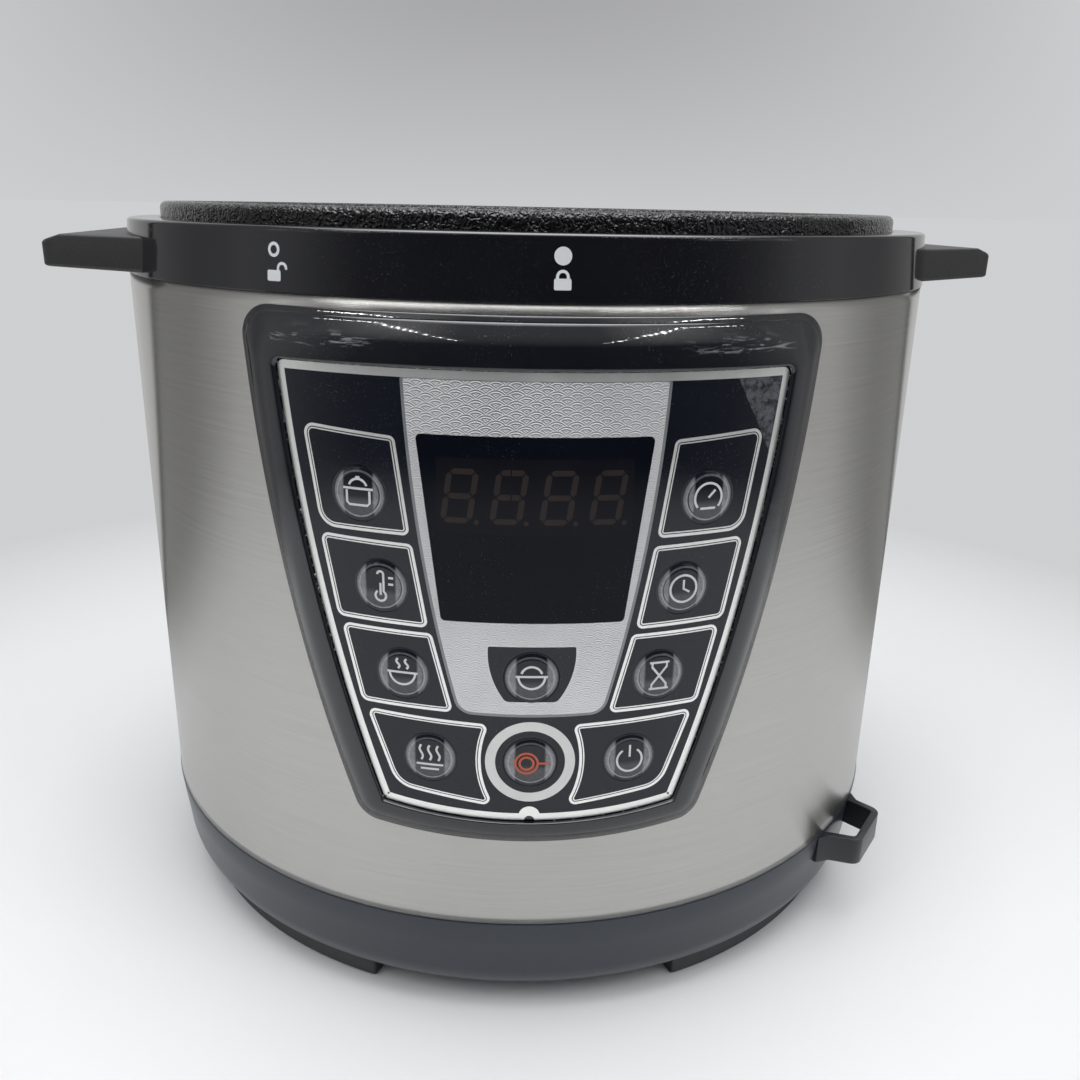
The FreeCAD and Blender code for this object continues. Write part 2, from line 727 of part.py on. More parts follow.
def panel_bezel():
    """Gloss front panel: rounded outer edge, recessed floor with key holes, and bosses for the board."""
    face = body_radius + bezel_height
    solid = bezel_prism().common(curved_layer(floor_back, face))
    rim = [e for e in solid.Edges if all(abs(math.hypot(v.X, v.Y) - face) < 0.01 for v in e.Vertexes)]
    solid = solid.makeFillet(bezel_edge_round, rim)
    solid = solid.cut(film_prism(-slip_gap).common(curved_layer(floor_face, body_radius + 20)))
    for x, z in boss_places:
        floor_y = -math.sqrt(floor_back ** 2 - x ** 2)
        solid = solid.fuse(rod_y(x, z, boss_radius, floor_y - 1.0, board_front))
        solid = solid.cut(rod_y(x, z, screw_hole_radius, board_front - 8.5, board_front))
    solid = solid.cut(window_prism(-slip_gap))
    for name, x, z in key_places():
        solid = solid.cut(rod_y(x, z, key_radius + key_gap, -film_face - 5, board_front - 1))
    for azimuth, level in panel_screw_places():
        start = polar(body_radius - 2, azimuth, level)
        solid = solid.cut(screw_hole(start, polar(1, azimuth, 0), panel_screw_length + 1.4))
    return solid.removeSplitter()


def panel_screws():
    return group([screw(polar(shell_inner - 0.3, azimuth, level), polar(1, azimuth, 0), panel_screw_length)
                  for azimuth, level in panel_screw_places()])


def control_film():
    solid = film_prism().common(curved_layer(film_face - film_thickness, film_face))
    solid = solid.cut(window_prism(-slip_gap))
    for name, x, z in key_places():
        solid = solid.cut(rod_y(x, z, key_radius + key_gap, -film_face - 5, board_front))
    return solid


def display_window():
    return window_prism().common(curved_layer(floor_back, film_face))


def key(x, z):
    """Push key: a cap with a raised middle, a flange behind the panel and a post to its switch."""
    back = key_flange_face - key_flange_thickness
    post_start = -math.sqrt((key_flange_face - key_flange_thickness / 2) ** 2 - x ** 2)
    solid = rod_y(x, z, key_post_radius, post_start, stem_face)
    for radius, face in ((key_flange_radius, key_flange_face), (key_radius, film_face + key_edge_stand),
                         (key_middle_radius, film_face + key_stand)):
        step = rod_y(x, z, radius, -film_face - 5, board_front)
        solid = solid.fuse(step.common(curved_layer(back, face)))
    return solid.removeSplitter()


def switch_stem(x, z):
    return rod_y(x, z, stem_radius, stem_face, switch_face + stem_depth)


def switch_housings():
    half = switch_size / 2
    bore_end = switch_face + stem_depth + key_travel + stem_gap
    solids = []
    for name, x, z in key_places():
        body = box(x - half, x + half, switch_face, board_front, z - half, z + half)
        solids.append(body.cut(rod_y(x, z, stem_radius + stem_gap, switch_face, bore_end)))
    return group(solids)


def control_board():
    solid = box(-board_half_width, board_half_width, board_front, board_back, board_low, board_high)
    solid = rounded(solid, INWARD, ((3.0, lambda c: True),))
    for x, z in boss_places:
        solid = solid.cut(rod_y(x, z, screw_hole_radius, board_front, board_back))
    return solid


def display_module():
    half = display_width / 2
    low = display_middle - display_height / 2
    solid = box(-half, half, board_front - display_depth, board_front, low, low + display_height)
    return rounded(solid, INWARD, ((0.8, lambda c: True),))


def mains_post_places():
    x = mains_board_half - mains_post_inset
    return [(side * x, y) for side in (-1, 1)
            for y in (mains_board_near + mains_post_inset, mains_board_far - mains_post_inset)]


def power_board():
    solid = box(-mains_board_half, mains_board_half, mains_board_near, mains_board_far,
                mains_board_bottom, mains_board_top)
    for x, y in mains_post_places():
        solid = solid.cut(rod_z(x, y, screw_hole_radius, mains_board_bottom, mains_board_top))
    return solid


def board_screws():
    """Screws of both boards: into the panel's bosses and into the cover's posts."""
    front = [screw(V(x, board_back, z), INWARD * -1, 9) for x, z in boss_places]
    below = [screw(V(x, y, mains_board_top), DOWN, mains_screw_length) for x, y in mains_post_places()]
    return group(front + below)


def relay():
    near = mains_board_near + 14
    solid = box(-38, -20, near, near + 22, mains_board_top, mains_board_top + 16)
    return rounded(solid, UP, ((1.0, lambda c: True),))


def transformer():
    near = mains_board_near + 16
    core = box(22, 42, near, near + 30, mains_board_top + 5, mains_board_top + 19)
    winding = box(25, 39, near + 3, near + 27, mains_board_top, mains_board_top + 23)
    return core.fuse(rounded(winding, UP, ((2.0, lambda c: True),))).removeSplitter()


def capacitor():
    near = mains_board_near + 44
    solid = box(-38, -20, near, near + 9, mains_board_top, mains_board_top + 14)
    return rounded(solid, UP, ((1.0, lambda c: True),))


def inlet_body(stand):
    """Outside of the inlet's socket, which passes through the base ring."""
    half_width = inlet_cavity[0] / 2 + inlet_wall + stand
    half_height = inlet_cavity[1] / 2 + inlet_wall + stand
    return box(-half_width, half_width, inlet_face - inlet_depth - inlet_wall, inlet_face,
               inlet_level - half_height, inlet_level + half_height)


def power_inlet():
    half_width = inlet_flange[0] / 2
    half_height = inlet_flange[1] / 2
    flange = box(-half_width, half_width, body_radius - 12, inlet_face,
                 inlet_level - half_height, inlet_level + half_height)
    flange = rounded(flange, INWARD, ((inlet_corner, lambda c: True),)).cut(base_envelope(seat_gap))
    cavity = box(-inlet_cavity[0] / 2, inlet_cavity[0] / 2, inlet_face - inlet_depth, inlet_face,
                 inlet_level - inlet_cavity[1] / 2, inlet_level + inlet_cavity[1] / 2)
    solid = flange.fuse(inlet_body(0)).cut(rounded(cavity, INWARD, ((3.0, lambda c: True),)))
    for pin in inlet_pin_boxes(0.05):
        solid = solid.cut(pin)
    for side_x in (-inlet_screw_reach, inlet_screw_reach):
        solid = solid.cut(rod_y(side_x, inlet_level, screw_hole_radius, body_radius - 20, inlet_face))
    return solid.removeSplitter()


def inlet_pin_boxes(stand):
    back = inlet_face - inlet_depth - inlet_wall - pin_tail
    front = inlet_face - pin_recess
    half_width = pin_size[0] / 2 + stand
    half_height = pin_size[1] / 2 + stand
    return [box(x - half_width, x + half_width, back, front,
                inlet_level + up - half_height, inlet_level + up + half_height) for x, up in pin_places]


def inlet_screws():
    return group([screw(V(x, inlet_face, inlet_level), INWARD * -1, 12)
                  for x in (-inlet_screw_reach, inlet_screw_reach)])


def loop_pegs(stand):
    level = loop_low + loop_height / 2
    inside = skirt_inner - 1.0
    length = body_radius + base_overhang + 1.0 - inside
    return [Part.makeCylinder(loop_peg_radius + stand, length, polar(inside, a, level), polar(1, a, 0))
            for a in (loop_azimuths[0] + loop_peg_inset[0], loop_azimuths[3] - loop_peg_inset[1])]


def point_at_radius(start, end, radius):
    """Point on the level line from start through end, at a distance from the body's axis."""
    along = end - start
    square = along.x ** 2 + along.y ** 2
    half = start.x * along.x + start.y * along.y
    rest = start.x ** 2 + start.y ** 2 - radius ** 2
    return start + along * ((math.sqrt(half ** 2 - square * rest) - half) / square)


def loop_foot(start, end, side):
    """Wedge that widens one end of the loop where it meets the ring."""
    meeting = point_at_radius(start, end, body_radius)
    azimuth = math.degrees(math.atan2(meeting.x, -meeting.y)) + side * loop_flare
    corners = [start, polar(loop_root, azimuth, loop_low),
               polar(body_radius + 2 * base_overhang, azimuth, loop_low),
               point_at_radius(start, end, body_radius + loop_flare_reach)]
    return Part.Face(Part.makePolygon(corners + corners[:1])).extrude(UP * loop_height)


def spoon_holder():
    """Four-sided loop with pegs into the base ring, open from top to bottom."""
    outer = [polar(loop_root, loop_azimuths[0], loop_low), polar(loop_outer, loop_azimuths[1], loop_low),
             polar(loop_outer, loop_azimuths[2], loop_low), polar(loop_root, loop_azimuths[3], loop_low)]
    blank = Part.Face(Part.makePolygon(outer + outer[:1]))
    hole = blank.makeOffset2D(-loop_wall)
    blank = blank.extrude(UP * loop_height)
    blank = rounded(blank, UP, ((loop_corner, lambda c: math.hypot(c.x, c.y) > body_radius),))
    hole = hole.extrude(UP * loop_height)
    hole = rounded(hole, UP, ((loop_corner - loop_wall, lambda c: math.hypot(c.x, c.y) > body_radius),))
    solid = blank.cut(hole)
    for ends, side in ((outer[:2], -1), (outer[:1:-1], 1)):
        solid = solid.fuse(loop_foot(*ends, side))
    solid = solid.cut(base_envelope(seat_gap))
    for peg in loop_pegs(0):
        solid = solid.fuse(peg)
    return solid.removeSplitter()


def mains_wires():
    """Wires from the inlet's pins to the mains board, and from there to the heating element's ends."""
    wires = []
    for x, up in pin_places[:2]:
        back = inlet_face - inlet_depth - inlet_wall - pin_tail
        level = inlet_level + up
        wires.append(wire_tube([V(x, back, level), V(x, mains_board_far - 8, level),
                                V(x, mains_board_far - 8, mains_board_top + seat_gap)]))
    for x, y in terminal_places:
        top = plate_bottom - terminal_length
        bend_level = top - 11
        landing = x - math.copysign(11, x)
        wires.append(wire_tube([V(x, y, top), V(x, y, bend_level), V(landing, y, bend_level),
                                V(landing, y, mains_board_top + seat_gap)]))
    return group(wires)


def sensor_lead():
    low = vessel_floor - bracket_depth
    run_level = low - 9
    landing = mains_board_near + 8
    return wire_tube([V(0, 0, low + 1.0), V(0, 0, run_level), V(0, landing, run_level),
                      V(0, landing, mains_board_top + seat_gap)])


def panel_ribbon():
    """Flat cable from the mains board, under the vessel and up behind the control board."""
    x = -30.0
    run_level = vessel_floor - 8
    start = V(x, mains_board_near + 6, mains_board_top)
    rise_y = board_back + ribbon_thickness / 2 + 0.3
    route = [start, V(x, start.y, run_level), V(x, rise_y, run_level), V(x, rise_y, board_low + 14)]
    path = bent_path(route, ribbon_bend)
    half = ribbon_width / 2
    thin = ribbon_thickness / 2
    corners = [start + V(-half, -thin, 0), start + V(half, -thin, 0),
               start + V(half, thin, 0), start + V(-half, thin, 0)]
    return path.makePipeShell([Part.makePolygon(corners + corners[:1])], True, False)


def nodes():
    """Every piece of the cooker under its node's name."""
    shapes = {
        "base_ring": base_ring(), "bottom_cover": bottom_cover(), "bottom_screws": bottom_screws(),
        "feet": feet(), "body_shell": body_shell(), "collar": collar(),
        "handle_left": handle(-1), "handle_right": handle(1), "handle_screws": handle_screws(),
        "outer_pot": outer_pot(), "inner_pot": inner_pot(),
        "heating_plate": heating_plate(), "element_terminals": element_terminals(),
        "sensor_cap": sensor_cap(), "sensor_bracket": sensor_bracket(), "sensor_spring": sensor_spring(),
        "pressure_switch": pressure_switch(), "thermal_fuse": thermal_fuse(), "fuse_clip": fuse_clip(),
        "support_legs": support_legs(), "vessel_screws": vessel_screws(),
        "panel_bezel": panel_bezel(), "panel_screws": panel_screws(), "control_film": control_film(),
        "display_window": display_window(), "display_module": display_module(),
        "control_board": control_board(), "switch_housings": switch_housings(),
        "power_board": power_board(), "board_screws": board_screws(), "relay": relay(),
        "transformer": transformer(), "capacitor": capacitor(),
        "power_inlet": power_inlet(), "inlet_pins": group(inlet_pin_boxes(0)),
        "inlet_screws": inlet_screws(),
        "spoon_holder": spoon_holder(), "mains_wires": mains_wires(),
        "sensor_lead": sensor_lead(), "panel_ribbon": panel_ribbon()}
    for name, x, z in key_places():
        shapes["key_" + name] = key(x, z)
        shapes["stem_" + name] = switch_stem(x, z)
    return shapes


os.makedirs("parts", exist_ok=True)
for node, shape in nodes().items():
    for solid in shape.Solids:
        if not solid.isValid():
            raise ValueError(node + " has a solid that isn't valid")
    print(node, len(shape.Solids), round(shape.Volume))
    shape.exportStep("parts/" + node + ".step")
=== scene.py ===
import bpy
import bmesh
import math
import random
from mathutils import Matrix, Vector


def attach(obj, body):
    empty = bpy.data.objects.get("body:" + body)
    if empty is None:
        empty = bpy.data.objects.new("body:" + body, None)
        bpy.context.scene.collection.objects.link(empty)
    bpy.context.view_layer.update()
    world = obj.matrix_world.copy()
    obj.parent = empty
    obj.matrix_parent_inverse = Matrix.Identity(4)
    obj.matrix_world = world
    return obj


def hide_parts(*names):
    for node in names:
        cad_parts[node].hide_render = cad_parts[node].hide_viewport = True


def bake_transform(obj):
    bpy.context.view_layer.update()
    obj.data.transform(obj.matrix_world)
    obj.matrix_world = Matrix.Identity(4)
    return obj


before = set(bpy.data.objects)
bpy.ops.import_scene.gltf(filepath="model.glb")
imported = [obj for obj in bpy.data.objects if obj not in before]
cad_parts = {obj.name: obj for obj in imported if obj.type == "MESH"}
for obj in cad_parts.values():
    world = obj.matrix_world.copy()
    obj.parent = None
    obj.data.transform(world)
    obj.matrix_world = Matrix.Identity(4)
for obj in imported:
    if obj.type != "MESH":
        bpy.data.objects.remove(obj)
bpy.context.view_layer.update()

# Base ring: the dark blue-grey bowl that carries the steel drum and closes in the works.
# Injection moulded in one piece with a satin surface, a rolled lower edge and an inward flange.
MM = 0.001
BODY_RADIUS = 137.0
BASE_TOP = 35.0
BASE_BOTTOM = 7.0
INLET_LEVEL = 22.0


def corner_arc(centre, radius, start, end, steps=8):
    """Points round a corner of a profile, between two angles in degrees from outwards to up."""
    angles = [math.radians(start + (end - start) * i / steps) for i in range(steps + 1)]
    return [(centre[0] + radius * math.cos(a), centre[1] + radius * math.sin(a)) for a in angles]


def turned(profile, segments=288):
    """Mesh of a closed profile of (radius, height) points in mm, turned round the cooker's axis."""
    bm = bmesh.new()
    spokes = []
    for i in range(segments):
        turn = math.tau * i / segments
        across, ahead = math.sin(turn) * MM, -math.cos(turn) * MM
        spokes.append([bm.verts.new((r * across, r * ahead, z * MM)) for r, z in profile])
    for i, spoke in enumerate(spokes):
        after = spokes[(i + 1) % segments]
        for j in range(len(profile)):
            k = (j + 1) % len(profile)
            if profile[j][0] > 0 or profile[k][0] > 0:
                bm.faces.new((spoke[j], after[j], after[k], spoke[k]))
    bmesh.ops.remove_doubles(bm, verts=bm.verts, dist=1e-7)
    bmesh.ops.recalc_face_normals(bm, faces=bm.faces)
    return bm


def smooth(mesh, sharp=40.0):
    """Shade a mesh smooth but for edges sharper than an angle in degrees."""
    mesh.shade_smooth()
    mesh.set_sharp_from_angle(angle=math.radians(sharp))


def piece_of(bm, name, material, sharp=40.0):
    """Object at the origin from a mesh, smooth but for its sharp edges."""
    mesh = bpy.data.meshes.new(name)
    bm.to_mesh(mesh)
    bm.free()
    smooth(mesh, sharp)
    mesh.materials.append(material)
    piece = bpy.data.objects.new(name, mesh)
    bpy.context.scene.collection.objects.link(piece)
    return piece


def settle(piece):
    """Turn a piece's modifiers into its plain mesh."""
    graph = bpy.context.evaluated_depsgraph_get()
    mesh = bpy.data.meshes.new_from_object(piece.evaluated_get(graph), preserve_all_data_layers=True,
                                           depsgraph=graph)
    piece.modifiers.clear()
    piece.data = mesh
    return piece


def shaped(piece, kind, **settings):
    """Put a piece through a modifier and keep the plain result."""
    step = piece.modifiers.new(kind, kind)
    for key, value in settings.items():
        setattr(step, key, value)
    return settle(piece)


def cut_away(piece, cutter_bm):
    """Take the cutter's shape out of a piece."""
    cutter = piece_of(cutter_bm, "cutter", piece.data.materials[0])
    shaped(piece, "BOOLEAN", operation="DIFFERENCE", solver="EXACT", object=cutter)
    bpy.data.objects.remove(cutter)
    smooth(piece.data)


def block(low, high):
    """Box mesh between two corners in mm."""
    bm = bmesh.new()
    size = [(h - l) * MM for l, h in zip(low, high)]
    middle = [(l + h) / 2 * MM for l, h in zip(low, high)]
    bmesh.ops.create_cube(bm, size=1.0, matrix=Matrix.Translation(middle) @ Matrix.Diagonal((*size, 1)))
    return bm


def seat(piece, body, slot, *nodes):
    """Ride a finished piece on its body in place of CAD nodes; its slot argument is not used."""
    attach(piece, body)
    if nodes:
        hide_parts(*nodes)
    return piece


def feed(node, inputs):
    """Give a node's inputs values, or link sockets to them, by socket name or number."""
    for key, value in inputs.items():
        if isinstance(value, bpy.types.NodeSocket):
            node.id_data.links.new(value, node.inputs[key])
        else:
            node.inputs[key].default_value = value
    return node


def add(tree, kind, inputs=None, **settings):
    """New node in a tree, with its settings and what its inputs get."""
    made = tree.nodes.new(kind)
    for key, value in settings.items():
        setattr(made, key, value)
    return feed(made, inputs or {})


def shader_group(name, inputs, outputs):
    """Empty shader node group with a Vector and named value inputs, and named value outputs."""
    tree = bpy.data.node_groups.new(name, "ShaderNodeTree")
    tree.interface.new_socket("Vector", in_out="INPUT", socket_type="NodeSocketVector")
    for socket in inputs:
        tree.interface.new_socket(socket, in_out="INPUT", socket_type="NodeSocketFloat")
    for socket in outputs:
        tree.interface.new_socket(socket, in_out="OUTPUT", socket_type="NodeSocketFloat")
    return tree, tree.nodes.new("NodeGroupInput").outputs, tree.nodes.new("NodeGroupOutput")


def tree_of(*values):
    """The node tree of the first socket among some values."""
    return next(value.id_data for value in values if isinstance(value, bpy.types.NodeSocket))


def spread(value, low, high, to_low=0.0, to_high=1.0):
    """A value's range mapped to another range, and held there."""
    return add(tree_of(value), "ShaderNodeMapRange", {
        "Value": value, "From Min": low, "From Max": high, "To Min": to_low, "To Max": to_high}).outputs["Result"]


def two_tones(factor, first, second):
    """Mix of two colours, each a socket or three numbers."""
    tree = tree_of(factor, first, second)
    first, second = (c if isinstance(c, bpy.types.NodeSocket) else (*c, 1) for c in (first, second))
    return add(tree, "ShaderNodeMixRGB", {"Fac": factor, "Color1": first, "Color2": second}).outputs[0]


def calc(operation, *values):
    """Result of a math node on values or sockets."""
    return add(tree_of(*values), "ShaderNodeMath", dict(enumerate(values)), operation=operation).outputs[0]


def times(first, second):
    return calc("MULTIPLY", first, second)


def plus(first, second):
    return calc("ADD", first, second)


def noise(place, scale, detail, **more):
    sizes = {"Scale": scale, "Detail": detail, **more}
    return add(tree_of(place), "ShaderNodeTexNoise", {"Vector": place, **sizes}).outputs["Fac"]


def bumped(height, strength, distance, **more):
    """Normal of a surface that rises with a height."""
    sizes = {"Strength": strength, "Distance": distance, **more}
    return add(tree_of(height), "ShaderNodeBump", {"Height": height, **sizes}).outputs["Normal"]


def object_place(tree):
    return add(tree, "ShaderNodeTexCoord").outputs["Object"]


def surface_of(material):
    return material.node_tree.nodes["Principled BSDF"]


def new_material(name):
    """New material with its node tree and its surface shader."""
    material = bpy.data.materials.new(name)
    material.use_nodes = True
    return material, material.node_tree, surface_of(material)


# Grain of the mould in the skin of a plastic, and the smears that handling leaves on it
moulding_skin, skin_in, skin_out = shader_group("moulding_skin", ["Grain Scale", "Smear Scale"], ["Grain", "Smears"])
grain = noise(skin_in["Vector"], skin_in["Grain Scale"], 3.0, Roughness=0.6)
smears = noise(skin_in["Vector"], skin_in["Smear Scale"], 5.0, Roughness=0.62, Distortion=0.6)
feed(skin_out, {"Grain": grain, "Smears": spread(smears, 0.3, 0.7)})

# Dust: fine specks that gather in patches
settled_dust, dust_in, dust_out = shader_group("settled_dust", ["Speck Scale", "Amount"], ["Dust"])
specks = noise(dust_in["Vector"], dust_in["Speck Scale"], 2.0, Roughness=0.7)
patches = noise(dust_in["Vector"], 45.0, 3.0)
in_patches = times(spread(specks, 0.66, 0.74), spread(patches, 0.4, 0.72))
feed(dust_out, {"Dust": times(in_patches, dust_in["Amount"])})
SPECK_SCALE = 2600.0
DUST_COLOUR = (0.42, 0.42, 0.4)


def moulded(name, dark, light, gloss, grain_scale, grain_depth, dust=0.25, smear_scale=18.0):
    """Moulded plastic: two close tones, mould grain, smeared gloss from one roughness to another, dust."""
    material, tree, surface = new_material(name)
    where = object_place(tree)
    skin = add(tree, "ShaderNodeGroup", {"Vector": where, "Grain Scale": grain_scale, "Smear Scale": smear_scale},
               node_tree=moulding_skin).outputs
    dirt = add(tree, "ShaderNodeGroup", {"Vector": where, "Speck Scale": SPECK_SCALE, "Amount": dust},
               node_tree=settled_dust).outputs["Dust"]
    tone = two_tones(skin["Smears"], dark, light)
    rough = spread(skin["Smears"], 0.0, 1.0, *gloss)
    feed(surface, {"Base Color": two_tones(dirt, tone, DUST_COLOUR),
                   "Roughness": plus(rough, times(dirt, 0.4)),
                   "Normal": bumped(skin["Grain"], grain_depth, 0.0003)})
    return material


base_grey = moulded("base_grey", (0.023, 0.028, 0.038), (0.027, 0.033, 0.044), (0.285, 0.325), 1500.0, 0.10)
base_profile = [(137.1, BASE_TOP - 0.1), (137.3, BASE_TOP - 0.5), (136.4, 26.0), (135.3, 17.0)]
base_profile += corner_arc((125.3, 17.0), 10.0, 0, -90, 16)[1:]
base_profile += [(112.6, BASE_BOTTOM), (112.3, 7.3), (112.3, 9.5), (125.3, 9.5)]
base_profile += corner_arc((125.3, 17.0), 7.5, -90, 0)[1:]
base_profile += [(133.6, BASE_TOP), (133.6, 41.0), (136.1, 41.0), (136.1, BASE_TOP - 0.1)]
base_ring = piece_of(turned(base_profile), "base_ring_shell", base_grey)
cut_away(base_ring, block((-14.2, 118.0, INLET_LEVEL - 10.2), (14.2, 141.0, INLET_LEVEL + 10.2)))
seat(base_ring, "cooker_body", "base_grey", "base_ring")

# Feet: four curved pads of soft dark plastic that the cooker stands on.
# Each is a short arc with rounded edges, pressed onto the base ring's flange.
FOOT_ARC = 45.0
FOOT_COUNT = 4


def geometry_tree(name, inputs):
    """Geometry node tree with a Geometry, a Material and named number inputs, ready to be filled."""
    tree = bpy.data.node_groups.new(name, "GeometryNodeTree")
    tree.interface.new_socket("Geometry", in_out="INPUT", socket_type="NodeSocketGeometry")
    tree.interface.new_socket("Material", in_out="INPUT", socket_type="NodeSocketMaterial")
    for socket, kind in inputs.items():
        tree.interface.new_socket(socket, in_out="INPUT", socket_type="NodeSocket" + kind)
    tree.interface.new_socket("Geometry", in_out="OUTPUT", socket_type="NodeSocketGeometry")
    return tree, tree.nodes.new("NodeGroupInput").outputs


def close_tree(tree, given, geometry):
    """End a tree: make instances real, set the material and put the result out."""
    real = add(tree, "GeometryNodeRealizeInstances", {"Geometry": geometry})
    coloured = add(tree, "GeometryNodeSetMaterial", {"Geometry": real.outputs[0], "Material": given["Material"]})
    add(tree, "NodeGroupOutput", {"Geometry": coloured.outputs[0]})


def grow(piece, tree, **values):
    """Run a piece's mesh through a geometry tree and keep the plain result."""
    step = piece.modifiers.new(tree.name, "NODES")
    step.node_group = tree
    values.setdefault("Material", piece.data.materials[0])
    for item in tree.interface.items_tree:
        if item.in_out == "INPUT" and item.name.replace(" ", "_") in values:
            step[item.identifier] = values[item.name.replace(" ", "_")]
    return settle(piece)


# Copies of one shape, turned round the cooker's axis by equal steps
ring_of_copies, ring_in = geometry_tree("ring_of_copies", {"Count": "Int", "First Angle": "Float", "Step": "Float"})
ring_points = add(ring_of_copies, "GeometryNodePoints", {"Count": ring_in["Count"]})
ring_index = add(ring_of_copies, "GeometryNodeInputIndex").outputs[0]
ring_turn = plus(times(ring_index, ring_in["Step"]), ring_in["First Angle"])
ring_spin = add(ring_of_copies, "ShaderNodeCombineXYZ", {"Z": ring_turn})
ring_copies = add(ring_of_copies, "GeometryNodeInstanceOnPoints", {
    "Points": ring_points.outputs[0], "Instance": ring_in["Geometry"], "Rotation": ring_spin.outputs[0]})
close_tree(ring_of_copies, ring_in, ring_copies.outputs[0])


def arc_bar(section, arc, steps):
    """Mesh of a closed (radius, height) section swept over an arc at the front, with closed ends."""
    bm = bmesh.new()
    middle_r = sum(r for r, z in section) / len(section)
    middle_z = sum(z for r, z in section) / len(section)
    rounding = ((0.0, 0.9), (0.35, 0.97), (1.0, 1.0))
    spokes = []
    for i in range(-2, steps + 3):
        inset, size = rounding[2]
        if i <= 0:
            inset, size = rounding[i + 2]
        if i >= steps:
            inset, size = rounding[steps + 2 - i]
        end = math.degrees(1.0 / middle_r)
        turn = -arc / 2 + arc * min(max(i, 0), steps) / steps
        turn += end * (1 - inset) * (-1 if i <= 0 else 1 if i >= steps else 0) if inset < 1 else 0
        across, ahead = math.sin(math.radians(turn)) * MM, -math.cos(math.radians(turn)) * MM
        ring = [(middle_r + (r - middle_r) * size, middle_z + (z - middle_z) * size) for r, z in section]
        spokes.append([bm.verts.new((r * across, r * ahead, z * MM)) for r, z in ring])
    for near, far in zip(spokes, spokes[1:]):
        for j in range(len(section)):
            k = (j + 1) % len(section)
            bm.faces.new((near[j], far[j], far[k], near[k]))
    bm.faces.new(spokes[0])
    bm.faces.new(spokes[-1])
    bmesh.ops.recalc_face_normals(bm, faces=bm.faces)
    return bm


foot_grey = moulded("foot_grey", (0.030, 0.032, 0.036), (0.042, 0.044, 0.048), (0.55, 0.7), 900.0, 0.3, dust=0.5)
foot_section = [(118.5, 6.9), (118.5, 1.2), (119.7, 0.0), (127.5, 0.0), (128.7, 1.2), (128.7, 6.9)]
feet = piece_of(arc_bar(foot_section, FOOT_ARC, 20), "standing_feet", foot_grey, 30.0)
grow(feet, ring_of_copies, Count=FOOT_COUNT, First_Angle=math.radians(45), Step=math.tau / FOOT_COUNT)
seat(feet, "cooker_body", "foot_grey", "feet")

# Bottom cover: flat black plate with vent slots that carries the mains board on four posts.
# Injection moulded, and held to the base ring's flange by four pan-head screws of zinc-plated steel.
COVER_SCREW_RADIUS = 113.55
COVER_SCREW_LEVEL = 5.0


def dress(material, *nodes):
    """Give CAD nodes a finished material."""
    for name in nodes:
        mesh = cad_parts[name].data
        mesh.materials.clear()
        mesh.materials.append(material)


def bare_metal(name, dark, light, roughness, scale, stretch=(1.0, 1.0, 1.0), bump=0.05):
    """Plain metal with a worked surface: streaks or grain that vary its tone and gloss."""
    material, tree, surface = new_material(name)
    stretched = add(tree, "ShaderNodeMapping", {"Vector": object_place(tree), "Scale": stretch}).outputs[0]
    marks = noise(stretched, scale, 5.0)
    mask = spread(marks, 0.3, 0.7)
    feed(surface, {"Base Color": two_tones(mask, dark, light),
                   "Roughness": spread(mask, 0.0, 1.0, *roughness),
                   "Normal": bumped(marks, bump, 0.0002), "Metallic": 1.0})
    return material


def pan_head_screw(name, material):
    """Screw head with a domed top and a cross recess, standing up from the origin."""
    profile = [(0.0, 1.5), (1.0, 1.46), (2.0, 1.25), (2.6, 0.85), (2.9, 0.3), (2.9, 0.0), (1.5, 0.0), (1.5, -4.0),
               (0.0, -4.0)]
    head = piece_of(turned(profile, 32), name, material)
    for half in ((1.7, 0.35), (0.35, 1.7)):
        cut_away(head, block((-half[0], -half[1], 0.7), (half[0], half[1], 3.0)))
    return head


cover_black = moulded("cover_black", (0.014, 0.014, 0.015), (0.022, 0.022, 0.023), (0.45, 0.6), 1100.0, 0.3)
dress(cover_black, "bottom_cover")
zinc_steel = bare_metal("zinc_steel", (0.42, 0.42, 0.40), (0.62, 0.61, 0.58), (0.25, 0.45), 600.0)
bottom_screws = pan_head_screw("cover_screw_heads", zinc_steel)
screw_place = Matrix.Translation((0, -COVER_SCREW_RADIUS * MM, COVER_SCREW_LEVEL * MM))
bottom_screws.data.transform(screw_place @ Matrix.Rotation(math.pi, 4, "X"))
grow(bottom_screws, ring_of_copies, Count=4, First_Angle=0.0, Step=math.radians(90))
seat(bottom_screws, "cooker_body", "zinc_steel", "bottom_screws")

# Mains inlet: three-pin socket at the back of the base, where the loose mains lead plugs in.
# Moulded in black, with nickelled pins, and held by two zinc-plated screws through its flange.
INLET_FACE = 140.0
INLET_SCREW_SPAN = 39.6


def softened(node, name, material, width=0.4):
    """Copy of a CAD node with its sharp edges rounded off as a mould leaves them."""
    bm = bmesh.new()
    bm.from_mesh(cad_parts[node].data)
    bmesh.ops.remove_doubles(bm, verts=bm.verts, dist=2e-6)
    bmesh.ops.dissolve_limit(bm, angle_limit=math.radians(0.5), verts=bm.verts, edges=bm.edges)
    piece = piece_of(bm, name, material, 30.0)
    shaped(piece, "BEVEL", width=width * MM, segments=2, limit_method="ANGLE", angle_limit=math.radians(40.0))
    smooth(piece.data, 30.0)
    return piece


